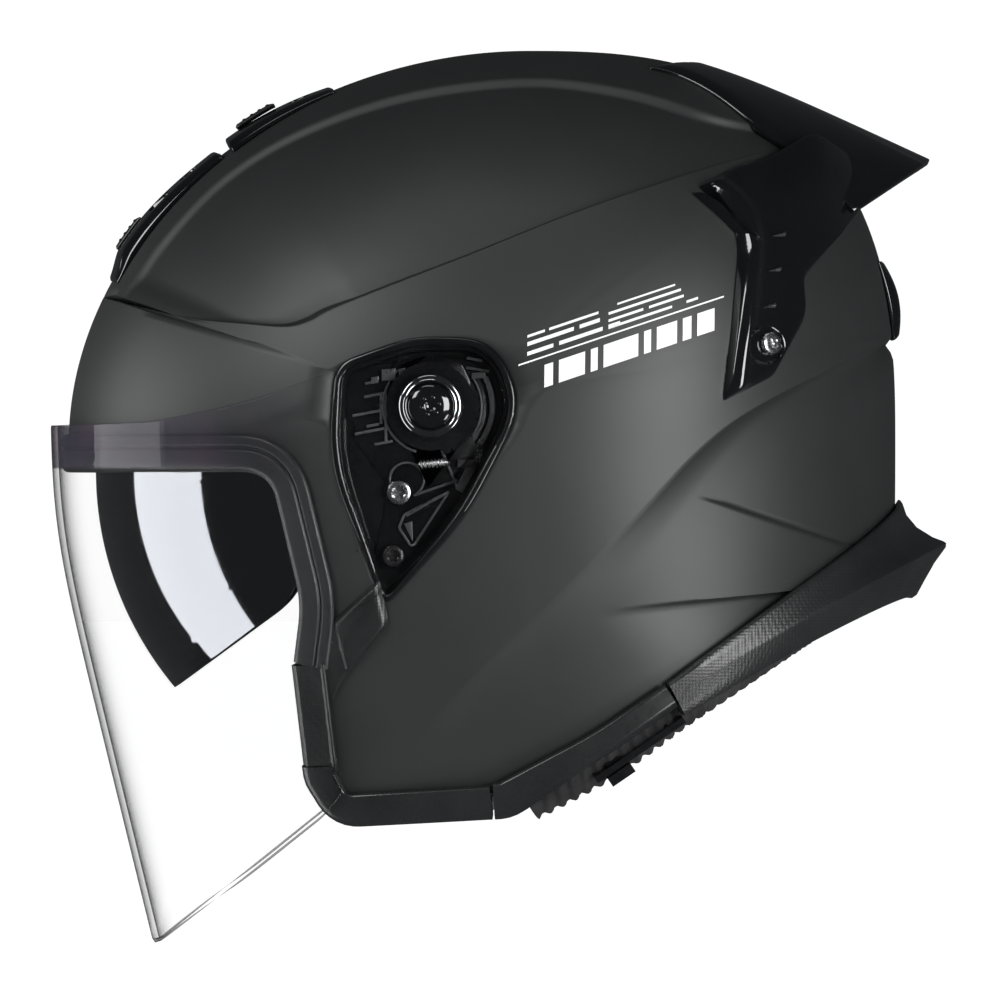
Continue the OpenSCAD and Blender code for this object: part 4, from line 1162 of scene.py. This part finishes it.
# ----------------------------------------
# Spoiler: a gloss black blade across the back of the crown with a wing down each side. Each wing
# has a rolled front edge, three small gills and a sunk screw.
# ----------------------------------------
def tail_rise(a):
    return 0.8 + 24.4 * max(0.0, (68 - a) / 33.2) ** 2.7


bm = bmesh.new()
BLADE_ROWS, BLADE_COLUMNS = 60, 64
made, spots = grid(BLADE_ROWS, BLADE_COLUMNS, bm)
for v, i, j in spots:
    t = i / BLADE_ROWS
    half = 39 + 18.5 * smooth(t / 0.55)
    x = -half + 2 * half * j / BLADE_COLUMNS
    start = 67 + 5 * (x / half) ** 2
    a = start + (35 - start) * t
    edge = smooth((half - abs(x)) / 2.5) * smooth(t * 20)
    side = abs(x) / 58
    crease = 0.7 * smooth((abs(x) - 20) / 3) * smooth((half - abs(x)) / 4) * smooth(t * 8)
    v.co = on_roof(x, a, 0.5 + tail_rise(a) * (1 - 0.7 * side ** 2.4) + 0.9 * edge + crease)
blade = make_piece(bm, "spoiler_blade", gloss_black, replaces=["spoiler_plate"], sharp=40)
wall(blade, 2.4)
bevel = blade.modifiers.new("edge", "BEVEL")
bevel.width = 0.5 * MM
bevel.segments = 2
bevel.limit_method = "ANGLE"
bevel.angle_limit = math.radians(50)

WING = [(69.8, 75.6, 1.2), (78, 73.0, 4), (85.2, 65.6, 5), (86.4, 56, 4), (84.0, 30), (81, 5.8, 1.2),
        (98, 14.4, 2), (109, 34, 4),
        (108.4, 47.6, 3), (121.5, 62.5, 2), (126, 70, 1), (121, 82, 2), (106, 92, 2), (84, 84.5, 4)]
WING_FRONT = rounded([(69.8, 75.6), (78, 73.0, 4), (85.2, 65.6, 5), (86.4, 56, 4), (84.0, 30),
                      (81, 5.8)], False, 5)
wing_pole = shell_spot((95, 52), 3.2)
GILLS = [(98.6, 60.6), (97.0, 49.0), (95.2, 37.0)]
WING_SCREW = (94.1, 24.1)


def to_line(q, line):
    best = 1e9
    for a, b in zip(line, line[1:]):
        t = max(0.0, min(1.0, (q - a).dot(b - a) / (b - a).length_squared))
        best = min(best, (q - a - (b - a) * t).length)
    return best


def wing_top(p, from_edge):
    at = on_shell(p, 3.2)
    q = Vector((at.y, at.z))
    front = to_line(q, WING_FRONT)
    height = (2.6 + 2.6 * math.exp(-((front - 3.6) / 3.0) ** 2)
              + 7.0 * smooth((at.z - 62) / 18) * smooth((at.y - 94) / 16))
    sunk = (q - Vector(WING_SCREW)).length
    height -= (height - 1.2) * smooth((6.6 - sunk) / 1.4)
    round_over = 1 - min(1.0, from_edge / 1.6)
    return on_shell(p, 0.5 + (height - 0.5) * (1 - round_over ** 2.2))


bm = bmesh.new()
closed_pad(bm, WING, wing_pole, lambda q: shell_spot(q, 3.2), wing_top, lambda p: on_shell(p, 0.4), 64,
           1.2)
make_piece(bm, "spoiler_wings", gloss_black,
           replaces=["spoiler_wing_left", "spoiler_wing_right"],
                   mirror=True, sharp=40)
# The gills' bright grey chrome on the gloss black wing is a painted glint.
gill_glint_metal = mottled("gill chrome painted glint", (0.5, 0.52, 0.55), (0.66, 0.68, 0.7), 0.22, 0.3, 100, 900, 0.0,
                     metal=1.0)
bm = bmesh.new()
for gill in GILLS:
    nose, tail = Vector(gill) + Vector((-2.2, -0.4)), Vector(gill) + Vector((2.0, 0.3))
    made, spots = grid(8, 4, bm)
    for v, i, j in spots:
        t, w = i / 8, (j / 4 - 0.5) * 2
        q = nose + (tail - nose) * t + Vector((0.1 * w, w * (0.15 + 0.65 * t)))
        v.co = on_shell(shell_spot(q, 3.4), 2.75 + 0.55 * (1 - w * w) + 0.2 * t)
make_piece(bm, "wing_gills", gill_glint_metal, mirror=True, sharp=50)
bm = bmesh.new()
screw_at = on_shell(shell_spot(WING_SCREW), 1.3)
lathe(bm, screw_head(3.7, 2.2, 1.7), screw_at, facing(screw_at), 60, (1, 2, 3))
make_piece(bm, "wing_screws", bright_zinc, replaces=["spoiler_screws"], sharp=30,
           mirror=True)

# ----------------------------------------
# Vents: gloss scoops over the brow and crown, each with a ribbed slider, and a small outlet at
# the back.
# ----------------------------------------
def scoop(name, node, a0, a1, half, rise, narrow=0.0, slots=()):
    """A low cover across the centre line.
    Rise gives its height along its length, and slots are sunk openings."""
    bm = bmesh.new()
    rows, columns = 60, 72
    made, spots = grid(rows, columns, bm)
    for v, i, j in spots:
        t = i / rows
        width = half - narrow * t
        x = -width + 2 * width * j / columns
        from_side = (width - abs(x)) / 3.5
        from_end = min(t, 1 - t) * math.radians(abs(a0 - a1)) * 140 / 1.5
        edge = min(1.0, max(0.0, min(from_side, from_end)))
        height = 0.5 + rise(t) * (1 - (1 - edge) ** 2)
        for t0, t1, x0, x1 in slots:
            sunk = (smooth((t - t0) / 0.03) * smooth((t1 - t) / 0.03)
                    * smooth((abs(x) - x0) / 1.0) * smooth((x1 - abs(x)) / 1.0))
            height -= sunk * (rise(t) - 0.2)
        v.co = on_roof(x, a0 + (a1 - a0) * t, max(0.4, height))
    piece = make_piece(bm, name, gloss_black, replaces=[node], sharp=35)
    wall(piece, 0.8)
    return piece


def brow_rise(t):
    return 0.8 + 2.6 * smooth(t / 0.22) - 1.2 * smooth((t - 0.3) / 0.7)


scoop("brow_scoop", "brow_vent", 159, 137, 30, brow_rise, 4, ((0.46, 0.62, 5, 22), (0.72, 0.84, 5, 19)))
scoop("crown_scoop", "crown_vent", 135.6, 119, 29, lambda t: 3.0 - 2.0 * t ** 2, 5,
      ((0.62, 0.8, 5, 18),))
scoop("rear_scoop", "rear_vent", 27, 15.4, 20,
      lambda t: 0.4 + 2.6 * math.sin(math.pi * min(1, t * 0.9)), 4, ((0.55, 0.78, 3, 13),))


def vent_slider(name, body, a0, a1, low, high):
    bm = bmesh.new()
    rows, columns = 40, 24
    made, spots = grid(rows, columns, bm)
    for v, i, j in spots:
        t, x = i / rows, -12 + j
        edge = min(1.0, min(t, 1 - t) * 8, (12 - abs(x)) / 1.5)
        ribs = 0.35 * max(0.0, math.sin(t * math.pi * 10)) * smooth((10 - abs(x)) / 2)
        v.co = on_roof(x, a0 + (a1 - a0) * t,
                       low + (high - low - 0.35) * (1 - (1 - edge) ** 2) + ribs * edge)
    piece = make_piece(bm, name, satin_plastic, body, [body], sharp=35)
    wall(piece, 0.7)


vent_slider("brow_slide", "brow_vent_slider", 155, 150, 4.3, 5.4)
vent_slider("crown_slide", "crown_vent_slider", 133, 127, 4.7, 5.7)

# ----------------------------------------
# Ratchets, sun visor pins and the sun visor's slider: black and steel parts that show only through
# the clear visor and from below, so their plain shapes stay.
# ----------------------------------------
def finish_as(names, material):
    for name in names:
        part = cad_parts[name]
        part.data.materials.clear()
        part.data.materials.append(material)


finish_as(["ratchet_left", "ratchet_right", "sun_slider_track"], black_acetal)
finish_as(["sun_slider"], black_acetal)
finish_as(["sun_visor_pins"], black_steel)

# ----------------------------------------
# Chin strap: 20 mm polyester webbing riveted to the shell at each side, closed under the chin by a
# lift buckle with a red lever and a toothed tongue.
# ----------------------------------------
webbing = surface("black webbing", (0.012, 0.012, 0.013), 0.7, spec=0.3)
weave_place = object_place(webbing)
warp = put(webbing, "ShaderNodeTexWave", [("Vector", weave_place)], bands_direction="Y", Scale=190.0,
           Distortion=0.4)
weft = put(webbing, "ShaderNodeTexWave", [("Vector", weave_place)], bands_direction="DIAGONAL",
           Scale=260.0, Distortion=0.6)
weave = reckon(webbing, "MULTIPLY", warp.outputs["Fac"], weft.outputs["Fac"])
raised(webbing, weave, 0.6, 0.0004)
join(webbing, blend(webbing, weave, 0.0, (0.006, 0.006, 0.007), 1.0, (0.03, 0.03, 0.032)), "Base Color")
STRAP_LINE = [(61, -8, -82), (60, -12, -98), (55.6, -18, -111), (48, -24, -118), (34, -28, -122.6),
              (16.2, -28, -122.9)]
for side, name, last in ((1, "left", 6), (-1, "right", 5)):
    line = flowing([Vector(p) for p in STRAP_LINE[:last]], 12)
    bm = bmesh.new()
    made, spots = grid(len(line) - 1, 16, bm)
    for v, i, j in spots:
        w = 10 - 20 * j / 16
        roll = 0.35 * (1 - abs(w) / 10) ** 0.5
        v.co = line[i] + Vector((roll * 0.6, w, -roll * 0.6))
    if side < 0:
        bmesh.ops.scale(bm, vec=(-1, 1, 1), verts=bm.verts)
    strap = make_piece(bm, "chin_strap_" + name, webbing, replaces=["strap_" + name],
                       sharp=70)
    wall(strap, 1.3)

buckle_plastic = mottled("buckle nylon", (0.012, 0.012, 0.013), (0.02, 0.02, 0.021), 0.34, 0.48, 40,
                         900, 0.05)
lever_red = mottled("red acetal", (0.3, 0.01, 0.01), (0.4, 0.016, 0.014), 0.3, 0.42, 40, 900, 0.03)


def plate(bm, low, high, soft):
    """A rounded block between two corners."""
    made = bmesh.ops.create_cube(bm, size=1)["verts"]
    for v in made:
        v.co = [low[k] if v.co[k] < 0 else high[k] for k in range(3)]
    edges = list(dict.fromkeys(e for v in made for e in v.link_edges))
    bmesh.ops.bevel(bm, geom=edges, offset=soft, segments=3, profile=0.5, affect="EDGES",
                    offset_type="OFFSET", material=-1)


bm = bmesh.new()
plate(bm, (-14, -41, -124.6), (16, -15, -122.6), 0.5)
for y in (-41, -17):
    plate(bm, (4, y, -132.6), (15, y + 2, -124), 0.6)
make_piece(bm, "buckle_shell", buckle_plastic, replaces=["buckle_body"], sharp=40)
bm = bmesh.new()
plate(bm, (-34, -36, -126.6), (2, -20, -125), 0.4)
for k in range(5):
    plate(bm, (-14 + 3 * k, -35, -127.0), (-12.4 + 3 * k, -21, -126.2), 0.25)
make_piece(bm, "buckle_teeth", buckle_plastic, replaces=["buckle_tongue"], sharp=40)
bm = bmesh.new()
plate(bm, (-14, -38.4, -132.8), (12, -17.6, -130.6), 0.8)
for k in range(4):
    plate(bm, (-12.6 + 2.2 * k, -36, -133.2), (-11.6 + 2.2 * k, -20, -132.5), 0.3)
lathe(bm, [(0, 0), (2.4, 0), (2.8, 0.4), (2.8, 20.4), (2.4, 20.8), (0, 20.8)], (12, -38.4, -130),
      (0, 1, 0), 40)
make_piece(bm, "buckle_lift", lever_red, "buckle_lever", ["buckle_lever"], sharp=40)
finish_as(["buckle_pin", "strap_anchors"], bright_zinc)

# ----------------------------------------
# Side graphics: white vinyl cut in plain bars about one long line, pressed on the shell above the
# ear on each side.
# ----------------------------------------
vinyl = mottled("white vinyl", (0.68, 0.68, 0.68), (0.78, 0.78, 0.78), 0.35, 0.5, 40, 900, 0.0)
LINE_START, LINE_END = Vector((12.7, 17.3)), Vector((80.0, 40.0))
along = (LINE_END - LINE_START).normalized()
above = Vector((-along.y, along.x))


def sticker(bm, start, length, low, high, lean=0.35):
    """A slanted bar that starts some way along the line and stands between two heights above it."""
    steps = max(2, round(length / 2))
    made, spots = grid(steps, 2, bm)
    for v, i, j in spots:
        h = low + (high - low) * j / 2
        q = LINE_START + along * (start + length * i / steps + h * lean) + above * h
        v.co = on_shell(shell_spot(q, 0.08), 0.08)


bm = bmesh.new()
sticker(bm, 0, 71, -0.25, 0.25)
for start, length, low, high in ((3, 9, 2, 3.2), (14, 15, 2, 3.2), (31, 4, 2, 3.2), (3, 16, 5, 6.2),
                                 (21, 7, 5, 6.2), (31, 22, 1.8, 2.6),
                                 (31, 12, 4, 4.8), (45, 12, 4, 4.8), (31, 25, 6.2, 7.0),
                                 (58, 4, 1.8, 2.6), (3, 6, 7.6, 8.4),
                                 (10.5, 17, 7.6, 8.4), (34, 20, 8.4, 9.0)):
    sticker(bm, start, length, low, high)
for start, length in ((9, 3), (14, 9), (25, 2.4), (29.4, 12), (43.4, 2.4), (47.8, 7), (56.8, 3),
                      (61.8, 6)):
    sticker(bm, start, length, -9.6, -2.6)
make_piece(bm, "side_graphics", vinyl, mirror=True, sharp=60)
